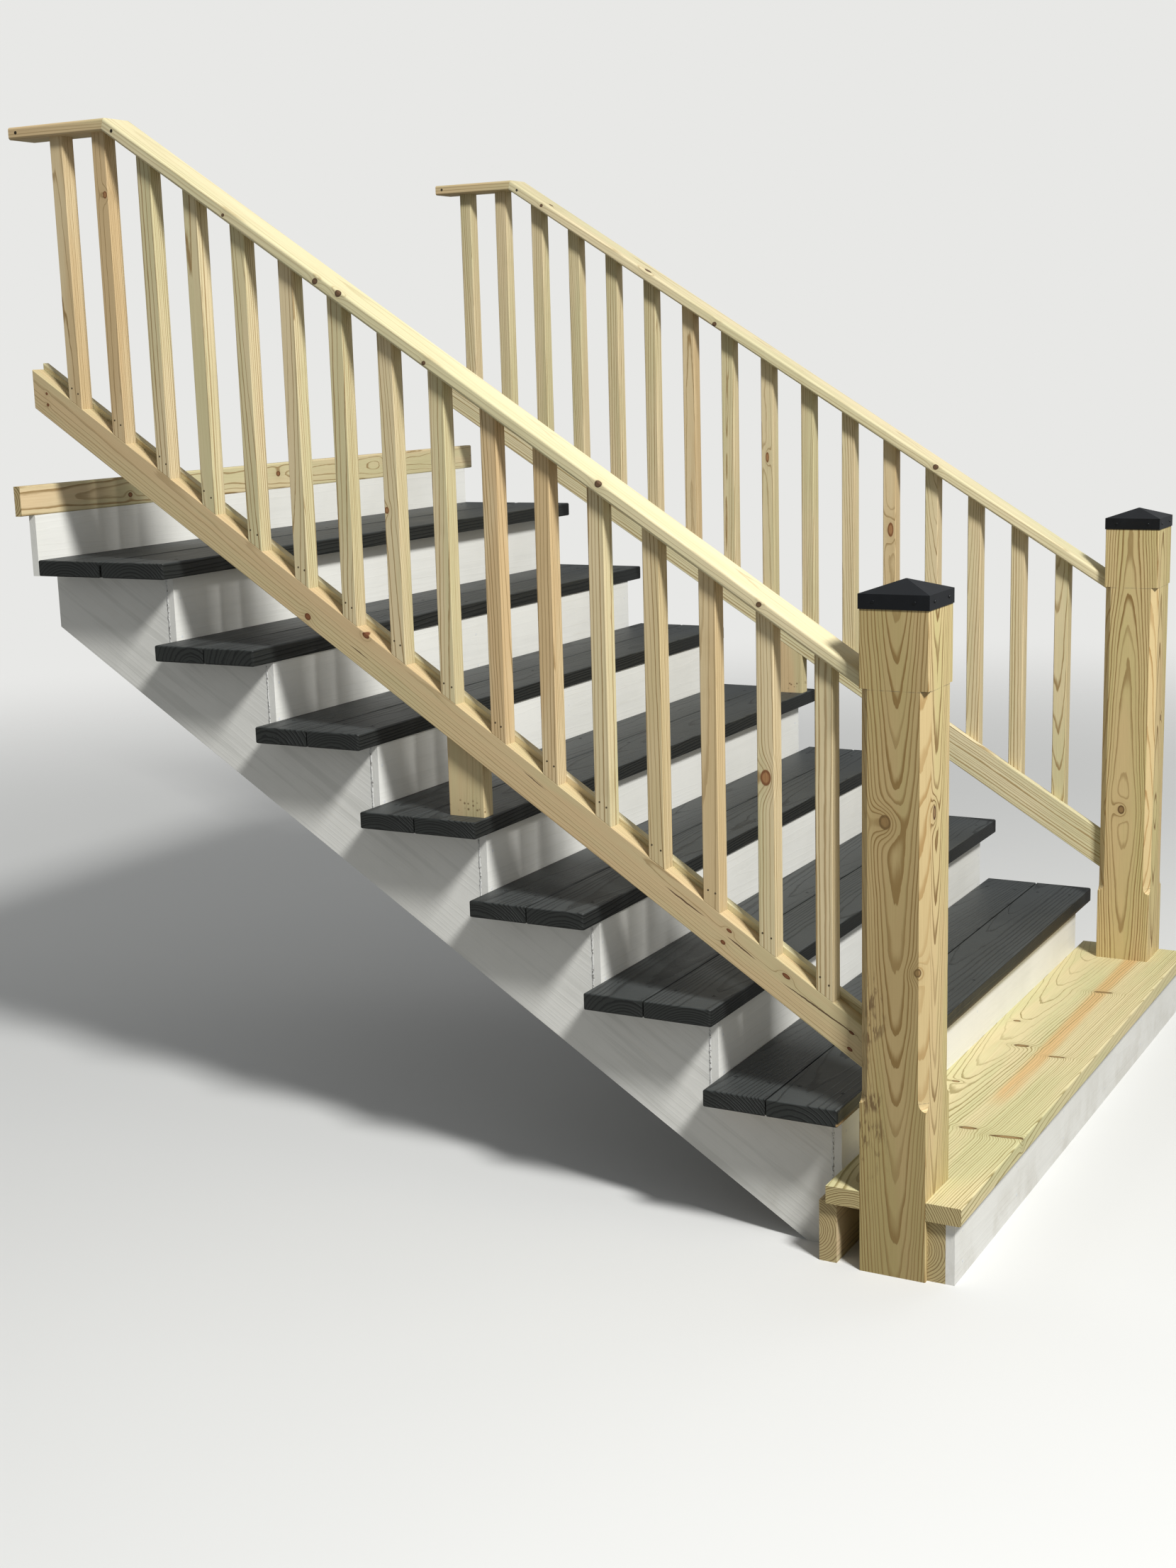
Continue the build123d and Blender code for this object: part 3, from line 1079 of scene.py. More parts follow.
@dataclass
class Fastener:
    """A flat or domed head with a recess, seated on a surface.

    Attributes:
        radius: The head's radius.
        height: How far it stands proud.
        drive: Its recess.
        recess: How deep that is.
        points: Points round each ring of the head, which the recess's points divide.
        profile: The rings of the head from the rim inwards, as shares of its radius and height.
    """

    radius: float = 0.0042
    height: float = 0.0004
    drive: Drive = Drive.STAR
    recess: float = 0.0005
    points: int = 24
    profile: tuple[Pair, ...] = ((1.0, -0.25), (1.0, 0.35), (0.9, 0.8), (0.72, 1.0), (0.5, 1.0))

    def recess_edge(self, angle: float) -> float:
        """How far the recess reaches from the middle of the head.

        Args:
            angle: The direction, in radians.

        Returns:
            The distance.
        """
        wave = 0.5 + 0.5 * math.cos(angle * self.drive.value)
        return self.radius * (0.24 + 0.14 * wave if self.drive is Drive.STAR else 0.12 + 0.3 * wave ** 3)

    def build(self, mesh: bmesh.types.BMesh, spot: Vector, out: Vector, turn: float) -> None:
        """Adds one head to a mesh.

        Args:
            mesh: The mesh to add to.
            spot: The head's centre on the surface.
            out: The way the surface faces.
            turn: How far the head is turned, in radians.
        """
        seat = Matrix.Translation(spot) @ out.to_track_quat("Z", "Y").to_matrix().to_4x4()
        angles = [2 * math.pi * index / self.points for index in range(self.points)]
        outlines = [([part * self.radius] * self.points, rise * self.height) for part, rise in self.profile]
        if self.drive is not Drive.NONE:
            edge = [self.recess_edge(angle) for angle in angles]
            outlines += [(edge, self.height), (edge, self.height - self.recess)]
        rings = []
        for reaches, height in outlines:
            corners = [Vector((reach * math.cos(angle + turn), reach * math.sin(angle + turn), height))
                       for reach, angle in zip(reaches, angles)]
            rings.append([mesh.verts.new(seat @ corner) for corner in corners])
        for outer, inner in zip(rings, rings[1:]):
            for index in range(self.points):
                following = (index + 1) % self.points
                mesh.faces.new((outer[index], outer[following], inner[following], inner[index]))
        mesh.faces.new(rings[-1])
        mesh.faces.new(list(reversed(rings[0])))


def fasten(name: str, spots: Iterable[Spot], fastener: Fastener, material: bpy.types.Material,
           seed: int) -> bpy.types.Object:
    """Makes one piece of several like heads.

    Args:
        name: The piece's name.
        spots: Where each head sits and the way it faces.
        fastener: The head.
        material: Its finish.
        seed: The seed for the heads' turns.

    Returns:
        The piece.
    """
    chance = random.Random(seed)
    mesh = bmesh.new()
    for spot, out in spots:
        fastener.build(mesh, spot, out, chance.uniform(0.0, math.tau))
    return make_piece(name, mesh, material)


def front_board(node: str, heart: Pair, ring: float = 0.0055) -> Lie:
    """How a board that runs across the stairs and shows its front lies in the tree.

    Args:
        node: The board's node.
        heart: Where the heart of the tree passes, across and above the board's middle.
        ring: The distance from one year's ring to the next.

    Returns:
        The board's lie.
    """
    low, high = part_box(node)
    return Lie(ACROSS, FRONTWARD, heart, (0.0, low.y, (low.z + high.z) / 2), ring=ring)


@dataclass
class Flight:
    """The painted treads, the risers, the stringers and the fascia.

    Attributes:
        steps: How many painted treads there are, numbered from the top one down.
        stringer_lines: Where the stringers are, across the stairs.
        seam: From a tread's back edge to the joint between its boards.
        top_seam: The same on the top tread, which is deeper.
        going: From one riser to the next.
        rise: From one tread to the next.
        row_pitch: A depth that is more than any board's, which tells a tread's two boards apart.
        screw_shares: Where a board's two screws are, as shares of its depth.
        nail_shares: Where a riser's two nails are, as shares of its height.
        fascia_shares: Where the fascia's two rows of nails are, as shares of its height.
        fascia_nails: How many nails are in each of those rows.
        fascia_margin: From the fascia's ends to its outer nails.
        bead_rows: How many rows of faces a bead of filler has.
        bead_gap: From the ends of a riser to the ends of its bead.
        bead_root: How far a bead's edges lie under the face that carries it.
    """

    steps: int = 7
    stringer_lines: Triple = (-0.863, 0.0, 0.863)
    seam: float = 0.1415
    top_seam: float = 0.1885
    going: float = 0.2775
    rise: float = 0.175
    row_pitch: float = 0.2
    screw_shares: Pair = (0.2, 0.78)
    nail_shares: Pair = (0.24, 0.72)
    fascia_shares: Pair = (0.25, 0.75)
    fascia_nails: int = 6
    fascia_margin: float = 0.05
    bead_rows: int = 34
    bead_gap: float = 0.001
    bead_root: float = 0.0002

    def dress_treads(self) -> None:
        """Gives each tread its paint and its painted screw heads, which are darker than the tread as painted shade
        of the dimples they sink in.
        """
        screw = Fastener(radius=0.005, height=0.0005, drive=Drive.STAR, recess=0.0006)
        # The screw heads' paint is darker than the tread's: painted shade of their dimples.
        screw_paint_dimple_shade = DeckPaint(tone=srgb(28, 30, 30)).dress("screw_deck_paint_dimple_shade", Lie(ACROSS, UP), 77.0, 0.0, 0.0)
        chance = random.Random(11)
        for number in range(1, self.steps + 1):
            name = f"tread_{number}"
            low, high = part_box(name)
            back_width = self.top_seam if number == 1 else self.seam
            seam_y = high.y - back_width
            lie = Lie(ACROSS, UP, heart=(0.0, -0.06), origin=(0.0, seam_y, low.z), ring=0.0075, taper=0.02,
                      ripple=0.004, repeat=(WALLWARD, seam_y - self.row_pitch, self.row_pitch))
            paint = DeckPaint(bare=number == self.steps)
            wear(name, paint.dress(f"deck_paint_{number}", lie, number * 1.37, low.y, low.z))
            spots = []
            for line in self.stringer_lines:
                for share in self.screw_shares:
                    for y in (low.y + (seam_y - low.y) * share, seam_y + back_width * share):
                        x = line + chance.uniform(-0.006, 0.006)
                        spots.append((Vector((x, y + chance.uniform(-0.005, 0.005), high.z)), Vector(UP)))
            fasten(f"tread_screws_{number}", spots, screw, screw_paint_dimple_shade, number)

    def dress_white(self) -> None:
        """Paints the risers, the fascia and the stringers."""
        names = [f"riser_{number}" for number in range(1, self.steps + 1)] + ["top_riser", "step_fascia"]
        for seed, name in enumerate(names, start=20):
            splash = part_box(name)[0].z + 0.12 if name == "step_fascia" else None
            lie = front_board(name, (0.02, -0.07), 0.008)
            wear(name, WhitePaint().dress(f"white_paint_{name}", lie, seed, splash))
        slope = tuple(Vector((0.0, -self.going, -self.rise)).normalized())
        for seed, place in enumerate(("left", "middle", "right"), start=40):
            name = f"stringer_{place}"
            low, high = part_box(name)
            lie = Lie(slope, ACROSS, heart=(0.0, -0.08), origin=((low.x + high.x) / 2, -1.0, -0.8), ring=0.008)
            wear(name, WhitePaint(brushed=0.4).dress(f"white_paint_{name}", lie, seed, low.z + 0.14))

    def nail_white(self) -> None:
        """Adds the filled nail heads on the risers and the fascia."""
        putty = Fastener(radius=0.0034, height=0.00018, drive=Drive.NONE)
        material = WhitePaint(tone=srgb(218, 220, 222)).dress("nail_putty", Lie(ACROSS, FRONTWARD), 61.0)
        chance = random.Random(5)
        for number in range(1, self.steps + 1):
            low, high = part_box(f"riser_{number}")
            spots = []
            for line in self.stringer_lines:
                for share in self.nail_shares:
                    x = line + chance.uniform(-0.008, 0.008)
                    spots.append((Vector((x, low.y, low.z + (high.z - low.z) * share)), Vector(FRONTWARD)))
            fasten(f"riser_nails_{number}", spots, putty, material, number)
        low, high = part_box("step_fascia")
        gap = (high.x - low.x - 2 * self.fascia_margin) / (self.fascia_nails - 1)
        spots = []
        for step in range(self.fascia_nails):
            for share in self.fascia_shares:
                height = low.z + (high.z - low.z) * share
                spots.append((Vector((low.x + self.fascia_margin + step * gap, low.y, height)), Vector(FRONTWARD)))
        fasten("fascia_nails", spots, putty, material, 9)

    def caulk_risers(self) -> None:
        """Adds the rough bead of filler where each riser's end meets the outer stringers."""
        filler = WhitePaint(tone=srgb(222, 222, 218), shade=srgb(196, 196, 190), torn=0.75)
        material = filler.dress("joint_filler", Lie(UP, ACROSS), 63.0)
        for seed, side in enumerate(Side, start=31):
            mesh = bmesh.new()
            chance = random.Random(seed)
            for number in range(1, self.steps + 1):
                self.add_bead(mesh, side, *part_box(f"riser_{number}"), chance)
            make_piece(f"riser_filler_{side}", mesh, material, smooth=True)

    def add_bead(self, mesh: bmesh.types.BMesh, side: Side, low: Vector, high: Vector,
                 chance: random.Random) -> None:
        """Adds one uneven upright bead along the back edge of a riser's end.

        Args:
            mesh: The mesh to add to.
            side: The side of the stairs that the end is on.
            low: The riser's lowest corner.
            high: The riser's highest corner.
            chance: The source of unevenness.
        """
        bottom, top = low.z + self.bead_gap, high.z - self.bead_gap
        previous: list[bmesh.types.BMVert] = []
        for row in range(self.bead_rows + 1):
            z = bottom + (top - bottom) * row / self.bead_rows
            width = 0.0022 + chance.uniform(-0.0006, 0.0014)
            proud = 0.0006 + chance.uniform(0.0, 0.0009)
            drift = chance.uniform(-0.0007, 0.0007)
            section = ((-width, -self.bead_root), (-width * 0.6, proud * 0.7), (0.0, proud),
                       (width * 0.6, proud * 0.6), (width, -self.bead_root))
            ring = [mesh.verts.new((side.outer(low, high) + side.value * out, high.y + across + drift, z))
                    for across, out in section]
            for corners in zip(previous, previous[1:], ring[1:], ring):
                mesh.faces.new(corners)
            previous = ring


@dataclass(frozen=True)
class Railing:
    """What sets one railing apart from the other.

    Attributes:
        side: Its side of the stairs.
        slope: Rise of its bottom rail for each metre along the stairs.
        seed: A number that sets its boards apart.
        top_knots: The knots in its top rail.
        baluster_knots: The knots in its balusters.
        warm_boards: Numbers of its orange balusters, each with how orange it is.
        strip_heart: Where the heart of the tree passes its inner strip.
        strip_ring: The distance from one year's ring to the next in that strip.
        strip_pine: The strip's finish.
    """

    side: Side
    slope: float
    seed: float
    top_knots: tuple[Knot, ...]
    baluster_knots: tuple[Knot, ...]
    warm_boards: tuple[tuple[int, float], ...]
    strip_heart: Pair
    strip_ring: float
    strip_pine: TreatedPine


RAILINGS = (
    Railing(Side.LEFT, 0.645, 30.0,
            top_knots=(Knot(-0.684, -0.0445, 0.0014, 0.0028), Knot(0.81, -0.0445, 0.0023, 0.0042),
                       Knot(-0.342, -0.0445, 0.0105, 0.006), Knot(-0.406, -0.0445, 0.001, 0.005),
                       Knot(-0.086, -0.0445, -0.001, 0.0035), Knot(0.39, -0.0445, 0.0115, 0.006)),
            baluster_knots=(Knot(-0.439, 0.0, size=0.0115, long=1.45, board=1),
                            Knot(0.084, 0.012, size=0.0055, board=8), Knot(0.782, -0.01, size=0.006, board=14)),
            warm_boards=((2, 0.28), (3, 0.18), (5, 0.34), (6, 0.36), (14, 0.34), (15, 0.3)),
            strip_heart=(0.03, -0.03), strip_ring=0.005, strip_pine=TreatedPine(PALE_TONES, warmth=0.15)),
    Railing(Side.RIGHT, 0.622, 70.0,
            top_knots=(Knot(-0.945, -0.0445, 0.004, 0.0035), Knot(-0.929, -0.02, 0.0135, 0.006),
                       Knot(-0.546, -0.03, 0.0135, 0.009), Knot(-0.278, -0.0445, -0.003, 0.005),
                       Knot(0.502, -0.0445, 0.004, 0.006)),
            baluster_knots=(Knot(-0.103, 0.004, -0.019, 0.0085, 2.4, board=4),
                            Knot(0.1, 0.0, -0.019, 0.005, 3.0, board=7)),
            warm_boards=((4, 0.26), (9, 0.3)),
            strip_heart=(0.14, -0.01), strip_ring=0.0072,
            strip_pine=TreatedPine(PALE_TONES, warmth=0.0, contrast=1.3)),
)


@dataclass
class Lumber:
    """The unpainted pine: header, bottom step, box frame, posts and railings.

    Attributes:
        railings: The left and the right railing.
        ledge: Where the ledges of the bottom rails start, along the stairs and in height.
        foot_height: How far above the ledge the foot nails sit.
        foot_shifts: Where a foot's two nails are, from the baluster's middle.
        pitch: From one baluster to the next.
        baluster: The width of a baluster.
        joist_pitch: From one joist of the box frame to the next.
        pencil: Heights of the pencilled lines on the posts, and how far from the middle each begins.
        mitre_screw: How far a top rail's screw at the mitre is from its upper end and from its top.
        wall_screw: How far its screw at the wall is from the wall and from its top.
        header_knots: The knots in the header.
        step_knots: The knots in the bottom step.
        lower_knots: The knots in the bottom rails.
        lower_checks: The cracks in the bottom rails.
    """

    railings: tuple[Railing, ...] = RAILINGS
    ledge: Pair = (-2.094, -1.036)
    foot_height: float = 0.03
    foot_shifts: Pair = (-0.008, 0.009)
    pitch: float = 0.124
    baluster: float = 0.038
    joist_pitch: float = 0.4065
    pencil: tuple[Pair, ...] = ((-0.343, 0.0), (-1.162, 0.052))
    mitre_screw: Pair = (0.03, 0.03)
    wall_screw: Pair = (0.022, 0.013)
    header_knots: tuple[Knot, ...] = (
        Knot(-0.008, 0.005, 0.019, 0.007), Knot(-0.62, -0.01, 0.019, 0.006), Knot(0.52, 0.008, 0.019, 0.008))
    step_knots: tuple[Knot, ...] = (
        Knot(0.517, -0.0335, 0.038, 0.008, 0.9, 2.0), Knot(0.023, 0.0365, 0.038, 0.0085, 1.0, 2.0),
        Knot(-0.023, -0.0635, 0.038, 0.0055, 1.0, 2.2), Knot(-0.548, -0.0175, 0.038, 0.008, 0.9, 1.9),
        Knot(-0.564, -0.1125, 0.038, 0.009, 0.8, 2.1), Knot(-0.279, 0.1015, 0.038, 0.006, 1.0, 1.6),
        Knot(0.202, 0.1015, 0.038, 0.006, 1.0, 1.6))
    lower_knots: tuple[Knot, ...] = (
        Knot(-0.322, -0.02, size=0.0055, long=1.6), Knot(-0.173, 0.0326, size=0.0055, long=1.8),
        Knot(0.867, 0.0194, size=0.0032, long=2.2), Knot(0.869, -0.0103, size=0.0035, long=1.8),
        Knot(1.017, 0.0186, size=0.0042, long=2.4), Knot(1.19, 0.0097, size=0.0028, long=2.4),
        Knot(1.206, -0.0212, size=0.0028, long=2.4), Knot(-1.196, 0.0124, size=0.0028),
        Knot(-1.181, -0.0073, size=0.003))
    lower_checks: tuple[Check, ...] = (
        Check(0.7, 0.0068, 0.11, 0.002, 0.0034), Check(0.868, 0.006, 0.08, -0.002, 0.0034),
        Check(1.01, 0.001, 0.2, 0.011, 0.0036), Check(0.3, 0.012, 0.07, -0.002),
        Check(-0.2, -0.01, 0.06, 0.001))

    def dress_header(self) -> None:
        """Dresses the header board."""
        lie = Lie(ACROSS, FRONTWARD, heart=(0.004, -0.022), ring=0.007, sway=0.02, taper=0.016, ripple=0.006,
                  knots=self.header_knots)
        wear("header_board", TreatedPine(warmth=0.3, contrast=1.15).dress("pine_header", lie, 3.3))

    def dress_step(self) -> None:
        """Dresses the bottom step and the frame under it."""
        low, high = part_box("step_board")
        lie = Lie(ACROSS, UP, heart=(0.085, -0.07), origin=(0.0, (low.y + high.y) / 2, low.z), ring=0.0048,
                  taper=0.035, sway=0.01, ripple=0.004, knots=self.step_knots)
        pine = TreatedPine(STEP_TONES, warmth=0.03, contrast=1.15, streak=(-0.026, 0.03))
        wear("step_board", pine.dress("pine_step", lie, 9.1))
        for seed, name in enumerate(("frame_front", "frame_back"), start=12):
            wear(name, TreatedPine().dress(f"pine_{name}", front_board(name, (0.0, -0.06)), seed))
        low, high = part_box("frame_joists")
        lie = Lie(WALLWARD, ACROSS, heart=(0.0, -0.06), origin=(0.0, low.y, (low.z + high.z) / 2),
                  repeat=(ACROSS, low.x - 0.2, self.joist_pitch))
        wear("frame_joists", TreatedPine().dress("pine_joists", lie, 15.0))

    def dress_newels(self) -> None:
        """Dresses the newel posts, with the layout lines that the saw followed."""
        left = Lie(UP, WALLWARD, heart=(-0.02, -0.006), ring=0.0047, sway=0.008, taper=0.046, ripple=0.0052,
                   knots=(Knot(-0.599, -0.07, 0.017, 0.011, swirl=2.1),
                          Knot(-0.894, -0.068, -0.05, 0.0065, swirl=1.8),
                          Knot(-0.581, -0.032, -0.07, 0.0085, 1.7, swirl=1.8)))
        right = Lie(UP, WALLWARD, heart=(-0.022, 0.004), ring=0.0048, sway=0.006, taper=0.032, ripple=0.005,
                    knots=(Knot(-0.945, -0.07, 0.01, 0.009, swirl=1.9), Knot(-0.7, 0.01, -0.07, 0.006)),
                    whorl=-0.945)
        # The film on the posts' -X faces is partly painted shade, heavier on the left post.
        pine = TreatedPine(POST_TONES, warmth=0.2, contrast=1.4, pencil=self.pencil, fresh_cut=True, dirt_and_shade=0.25)
        weathered_and_shaded = replace(pine, dirt_and_shade=0.5, flecks=(-1.38, -0.86))
        for side, lie, finish, seed in ((Side.LEFT, left, weathered_and_shaded, 17.0), (Side.RIGHT, right, pine, 20.1)):
            name = f"newel_{side}"
            low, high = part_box(name)
            lie = replace(lie, origin=((low.x + high.x) / 2, (low.y + high.y) / 2, 0.0))
            wear(name, finish.dress(f"pine_{name}", lie, seed))

    def rail_boards(self, railing: Railing) -> dict[str, tuple[Lie, TreatedPine]]:
        """How each rail of a railing was cut, and its finish.

        Args:
            railing: The railing.

        Returns:
            The lie and the finish by the name of the piece, less its side.
        """
        rake = tuple(Vector((0.0, -1.0, -railing.slope)).normalized())
        upright = tuple(Vector((0.0, -railing.slope, 1.0)).normalized())
        out = railing.side.out
        return {
            "top_rail": (Lie(rake, upright, (0.012, -0.055), ring=0.006, knots=railing.top_knots),
                         TreatedPine(PALE_TONES, warmth=0.05, contrast=0.6)),
            "level_rail": (Lie(WALLWARD, UP, (-0.01, -0.05), ring=0.006),
                           TreatedPine(TAN_TONES, warmth=0.3, contrast=0.7)),
            "bottom_rail": (Lie(rake, out, (0.03, -0.04), ring=0.0046, knots=self.lower_knots),
                            TreatedPine(TAN_TONES, warmth=0.25, contrast=0.7, checks=self.lower_checks)),
            "rail_strip": (Lie(rake, out, railing.strip_heart, ring=railing.strip_ring), railing.strip_pine),
            "support_block": (Lie(UP, out, (0.02, -0.06), ring=0.0058),
                              TreatedPine(TAN_TONES, warmth=0.3, contrast=0.5, stain=(-0.676, -0.634))),
        }

    def dress_railings(self) -> None:
        """Dresses the rails, the blocks and the balusters of both railings."""
        for railing in self.railings:
            side = railing.side
            for offset, (piece, (lie, pine)) in enumerate(self.rail_boards(railing).items()):
                low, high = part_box(f"{piece}_{side}")
                lie = replace(lie, origin=tuple((low + high) / 2))
                wear(f"{piece}_{side}", pine.dress(f"pine_{piece}_{side}", lie, railing.seed + offset))
            low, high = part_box(f"balusters_{side}")
            row_start = low.y - (self.pitch - self.baluster) / 2
            lie = Lie(UP, side.out, heart=(0.0, -0.055), origin=((low.x + high.x) / 2, 0.0, -0.1), ring=0.0046,
                      repeat=(WALLWARD, row_start, self.pitch), sway=0.01, knots=railing.baluster_knots)
            pine = TreatedPine(BALUSTER_TONES, warmth=0.06, contrast=1.15, warm_boards=railing.warm_boards)
            wear(f"balusters_{side}", pine.dress(f"pine_balusters_{side}", lie, railing.seed + 9))

    def foot_nails(self, railing: Railing, chance: random.Random) -> list[Spot]:
        """Places the two nails at the foot of each baluster.

        Args:
            railing: The railing.
            chance: The source of unevenness.

        Returns:
            Where each nail sits and the way it faces.
        """
        low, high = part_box(f"balusters_{railing.side}")
        spots = []
        y = low.y + self.baluster / 2
        while y < high.y:
            foot = self.ledge[1] + (y - self.ledge[0]) * railing.slope
            for shift in self.foot_shifts:
                rise = self.foot_height + chance.uniform(-0.004, 0.006) + shift * railing.slope
                spot = Vector((railing.side.outer(low, high), y + shift + chance.uniform(-0.002, 0.002),
                               foot + rise))
                spots.append((spot, Vector(railing.side.out)))
            y += self.pitch
        return spots

    def fasten_railings(self) -> None:
        """Adds the nails of the balusters, and the two screws in the left edge of each top rail."""
        metal = ScrewMetal().dress("rail_nail_metal")
        # The rail screws are darker than the nails: partly their own tone, partly painted shade of the holes they
        # sit in.
        dark = ScrewMetal(tone=srgb(44, 40, 34)).dress("rail_screw_metal_hole_shade")
        nail = Fastener(radius=0.0022, height=0.0003, drive=Drive.NONE)
        screw = Fastener(radius=0.0038, drive=Drive.CROSS)
        edge = Vector(Side.LEFT.out)
        for index, railing in enumerate(self.railings):
            side = railing.side
            spots = self.foot_nails(railing, random.Random(90 + index))
            fasten(f"baluster_nails_{side}", spots, nail, metal, 50 + index)
            low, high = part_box(f"top_rail_{side}")
            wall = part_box(f"level_rail_{side}")[1].y
            mitre = Vector((low.x, high.y - self.mitre_screw[0], high.z - self.mitre_screw[1]))
            end = Vector((low.x, wall - self.wall_screw[0], high.z - self.wall_screw[1]))
            fasten(f"rail_screws_{side}", [(mitre, edge), (end, edge)], screw, dark, 60)


@dataclass
class PostCaps:
    """The black metal caps on the newel posts.

    Attributes:
        screw_inset: From the corners of a skirt to its screws.
    """

    screw_inset: float = 0.03

    def build(self) -> None:
        """Dresses the caps and adds the small screws in their skirts."""
        coat = BlackCoat().dress("black_coat")
        head = Fastener(radius=0.0033, height=0.0016, drive=Drive.CROSS, recess=0.0012)
        for seed, side in enumerate(Side, start=70):
            wear(f"newel_cap_{side}", coat)
            low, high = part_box(f"newel_cap_{side}")
            height = (low.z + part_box(f"newel_{side}")[1].z) / 2
            spots = []
            for x in (low.x + self.screw_inset, high.x - self.screw_inset):
                spots.append((Vector((x, low.y, height)), Vector(FRONTWARD)))
                spots.append((Vector((x, high.y, height)), Vector(WALLWARD)))
            for y in (low.y + self.screw_inset, high.y - self.screw_inset):
                spots.append((Vector((low.x, y, height)), Vector(Side.LEFT.out)))
                spots.append((Vector((high.x, y, height)), Vector(Side.RIGHT.out)))
            fasten(f"cap_screws_{side}", spots, head, coat, seed)


@dataclass(frozen=True)
class Lamp:
    """A square lamp that points at the stairs.

    Attributes:
        name: Its name.
        way: The direction from the stairs to the lamp.
        distance: How far away it is, in metres.
        size: The length of its edge.
        power: Its power in watts.
    """

    name: str
    way: Triple
    distance: float
    size: float
    power: float


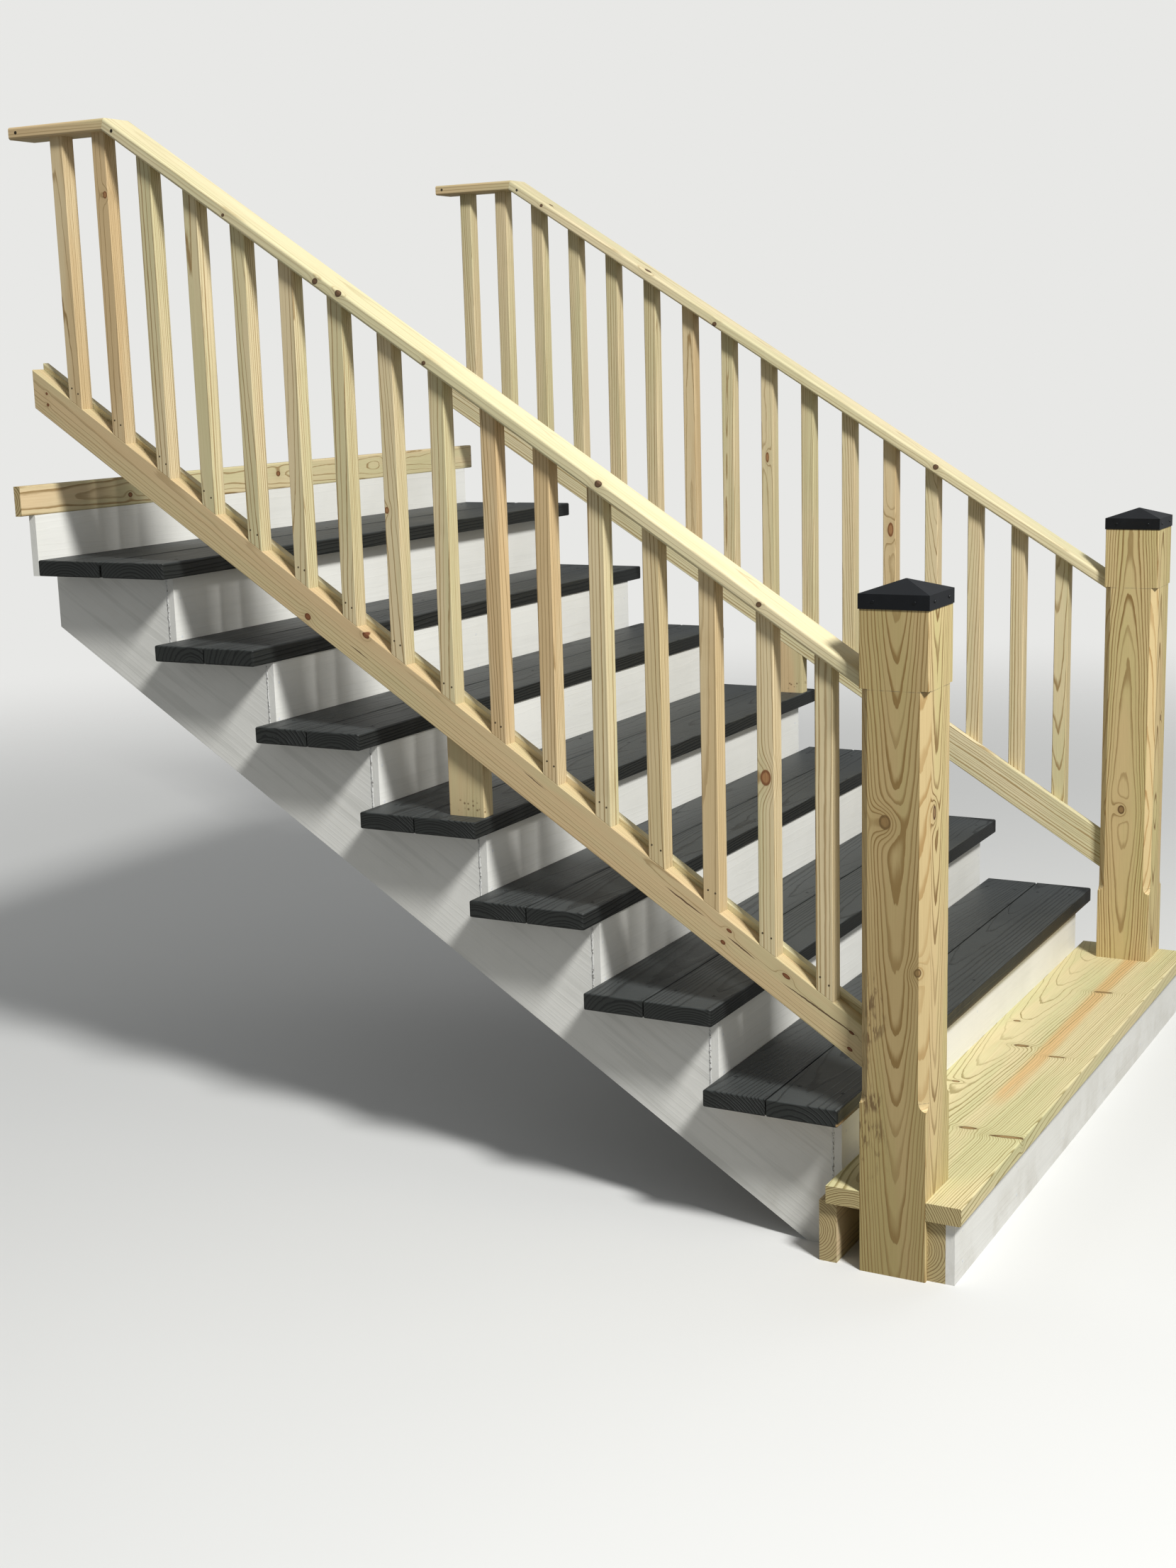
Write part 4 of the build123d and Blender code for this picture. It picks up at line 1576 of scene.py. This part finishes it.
@dataclass
class Studio:
    """The floor, the lamps and the camera.

    Attributes:
        position: Where the camera stands.
        heading: The way it looks, in degrees from Y towards X.
        pitch: How far it looks up, in degrees.
        roll: How far it leans, in degrees.
        lens: Its focal length in millimetres.
        sensor: The width of its picture in millimetres.
        clip: The nearest and the farthest distance that it sees.
        floor_size: Half the floor's edge.
        floor_fade: How far from the stairs the floor starts to fade, and where it is gone.
        floor_tone: The floor as the camera sees it.
        floor_patch: Its cloudier parts.
        floor_unseen: The floor as it lights the stairs.
        backdrop: The surround as the camera sees it.
        sky: The colour of the light from the surround.
        surround: The strength of that light.
        target: The point that the lamps are aimed at.
        lamps: The lamps.
    """

    position: Triple = (-4.6151, -3.5027, 0.2852)
    heading: float = 61.173
    pitch: float = -11.648
    roll: float = -1.611
    lens: float = 47.03
    sensor: float = 36.0
    clip: Pair = (0.05, 200.0)
    floor_size: float = 40.0
    floor_fade: Pair = (2.8, 8.5)
    floor_tone: Colour = srgb(214, 214, 211)
    floor_patch: Colour = srgb(208, 208, 206)
    floor_unseen: Colour = srgb(150, 149, 146)
    backdrop: Colour = srgb(232, 232, 230)
    sky: Colour = (0.94, 0.97, 1.0)
    surround: float = 0.26
    target: Triple = (0.0, -1.2, -0.5)
    lamps: tuple[Lamp, ...] = (
        Lamp("key_lamp", (-0.4, -0.61, 0.69), 9.0, 1.3, 1000.0),
        Lamp("fill_lamp", (0.7, -0.5, 0.45), 8.0, 4.0, 60.0),
        Lamp("back_lamp", (0.2, 0.8, 0.55), 8.0, 4.0, 60.0),
    )

    def build_camera(self) -> None:
        """Sets the camera where the photograph was taken from."""
        heading, pitch, roll = (math.radians(value) for value in (self.heading, self.pitch, self.roll))
        ahead = Vector((math.sin(heading) * math.cos(pitch), math.cos(heading) * math.cos(pitch), math.sin(pitch)))
        right = Vector((math.cos(heading), -math.sin(heading), 0.0))
        up = right.cross(ahead)
        turned_right = right * math.cos(roll) + up * math.sin(roll)
        turned_up = up * math.cos(roll) - right * math.sin(roll)
        data = bpy.data.cameras.new("studio_camera")
        data.lens = self.lens
        data.sensor_width = self.sensor
        data.clip_start, data.clip_end = self.clip
        camera = bpy.data.objects.new("studio_camera", data)
        rotation = Matrix((turned_right, turned_up, -ahead)).transposed()
        camera.matrix_world = Matrix.Translation(self.position) @ rotation.to_4x4()
        bpy.context.scene.collection.objects.link(camera)
        bpy.context.scene.camera = camera

    def build_floor(self) -> None:
        """Makes the pale floor, which takes the shadow and fades into the backdrop with distance."""
        low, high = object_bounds()
        middle = (low + high) / 2
        mesh = bmesh.new()
        bmesh.ops.create_grid(mesh, x_segments=1, y_segments=1, size=self.floor_size)
        data = bpy.data.meshes.new("studio_floor")
        mesh.to_mesh(data)
        mesh.free()
        floor = bpy.data.objects.new("studio_floor", data)
        floor.location = (0.0, 0.0, low.z)
        bpy.context.scene.collection.objects.link(floor)
        graph = Graph.of_material("studio_floor_paint")
        pale = graph.blend(graph.noise(1.5) * 0.3, self.floor_tone, self.floor_patch)
        seen = graph.add("ShaderNodeLightPath", {}, {}, "Is Camera Ray")
        solid = graph.principled(Base_Color=graph.blend(seen, self.floor_unseen, pale), Roughness=0.85)
        clear = graph.add("ShaderNodeBsdfTransparent")
        away = graph.vector("DISTANCE", graph.place, (middle.x, middle.y, 0.0), "Value")
        mixed = graph.add("ShaderNodeMixShader", {}, {0: away.step(*self.floor_fade), 1: solid, 2: clear})
        data.materials.append(graph.close(mixed))
        floor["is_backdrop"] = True

    def build_lamps(self) -> None:
        """Sets a large soft key lamp from the left front, a weak fill and a pale surround."""
        graph = Graph(bpy.data.worlds.new("studio_world"))
        light = graph.add("ShaderNodeBackground", {}, {"Color": self.sky, "Strength": self.surround})
        shown = graph.add("ShaderNodeBackground", {}, {"Color": self.backdrop})
        seen = graph.add("ShaderNodeLightPath", {}, {}, "Is Camera Ray")
        mixed = graph.add("ShaderNodeMixShader", {}, {0: seen, 1: light, 2: shown})
        bpy.context.scene.world = graph.close(mixed, "ShaderNodeOutputWorld")
        target = Vector(self.target)
        for lamp in self.lamps:
            data = bpy.data.lights.new(lamp.name, "AREA")
            data.size = lamp.size
            data.energy = lamp.power
            light_object = bpy.data.objects.new(lamp.name, data)
            light_object.location = target + Vector(lamp.way).normalized() * lamp.distance
            light_object.rotation_mode = "QUATERNION"
            light_object.rotation_quaternion = (target - light_object.location).to_track_quat("-Z", "Y")
            bpy.context.scene.collection.objects.link(light_object)


def main() -> None:
    """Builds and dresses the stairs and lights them."""
    logging.basicConfig(level=logging.INFO, format="%(name)s: %(message)s")
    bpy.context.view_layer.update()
    studio = Studio()
    studio.build_camera()
    flight = Flight()
    flight.dress_treads()
    flight.dress_white()
    flight.nail_white()
    flight.caulk_risers()
    lumber = Lumber()
    lumber.dress_header()
    lumber.dress_step()
    lumber.dress_newels()
    lumber.dress_railings()
    lumber.fasten_railings()
    PostCaps().build()
    studio.build_floor()
    studio.build_lamps()
    bpy.context.scene.view_settings.view_transform = "Standard"
    log.info("boxes written")


if __name__ == "__main__":
    main()
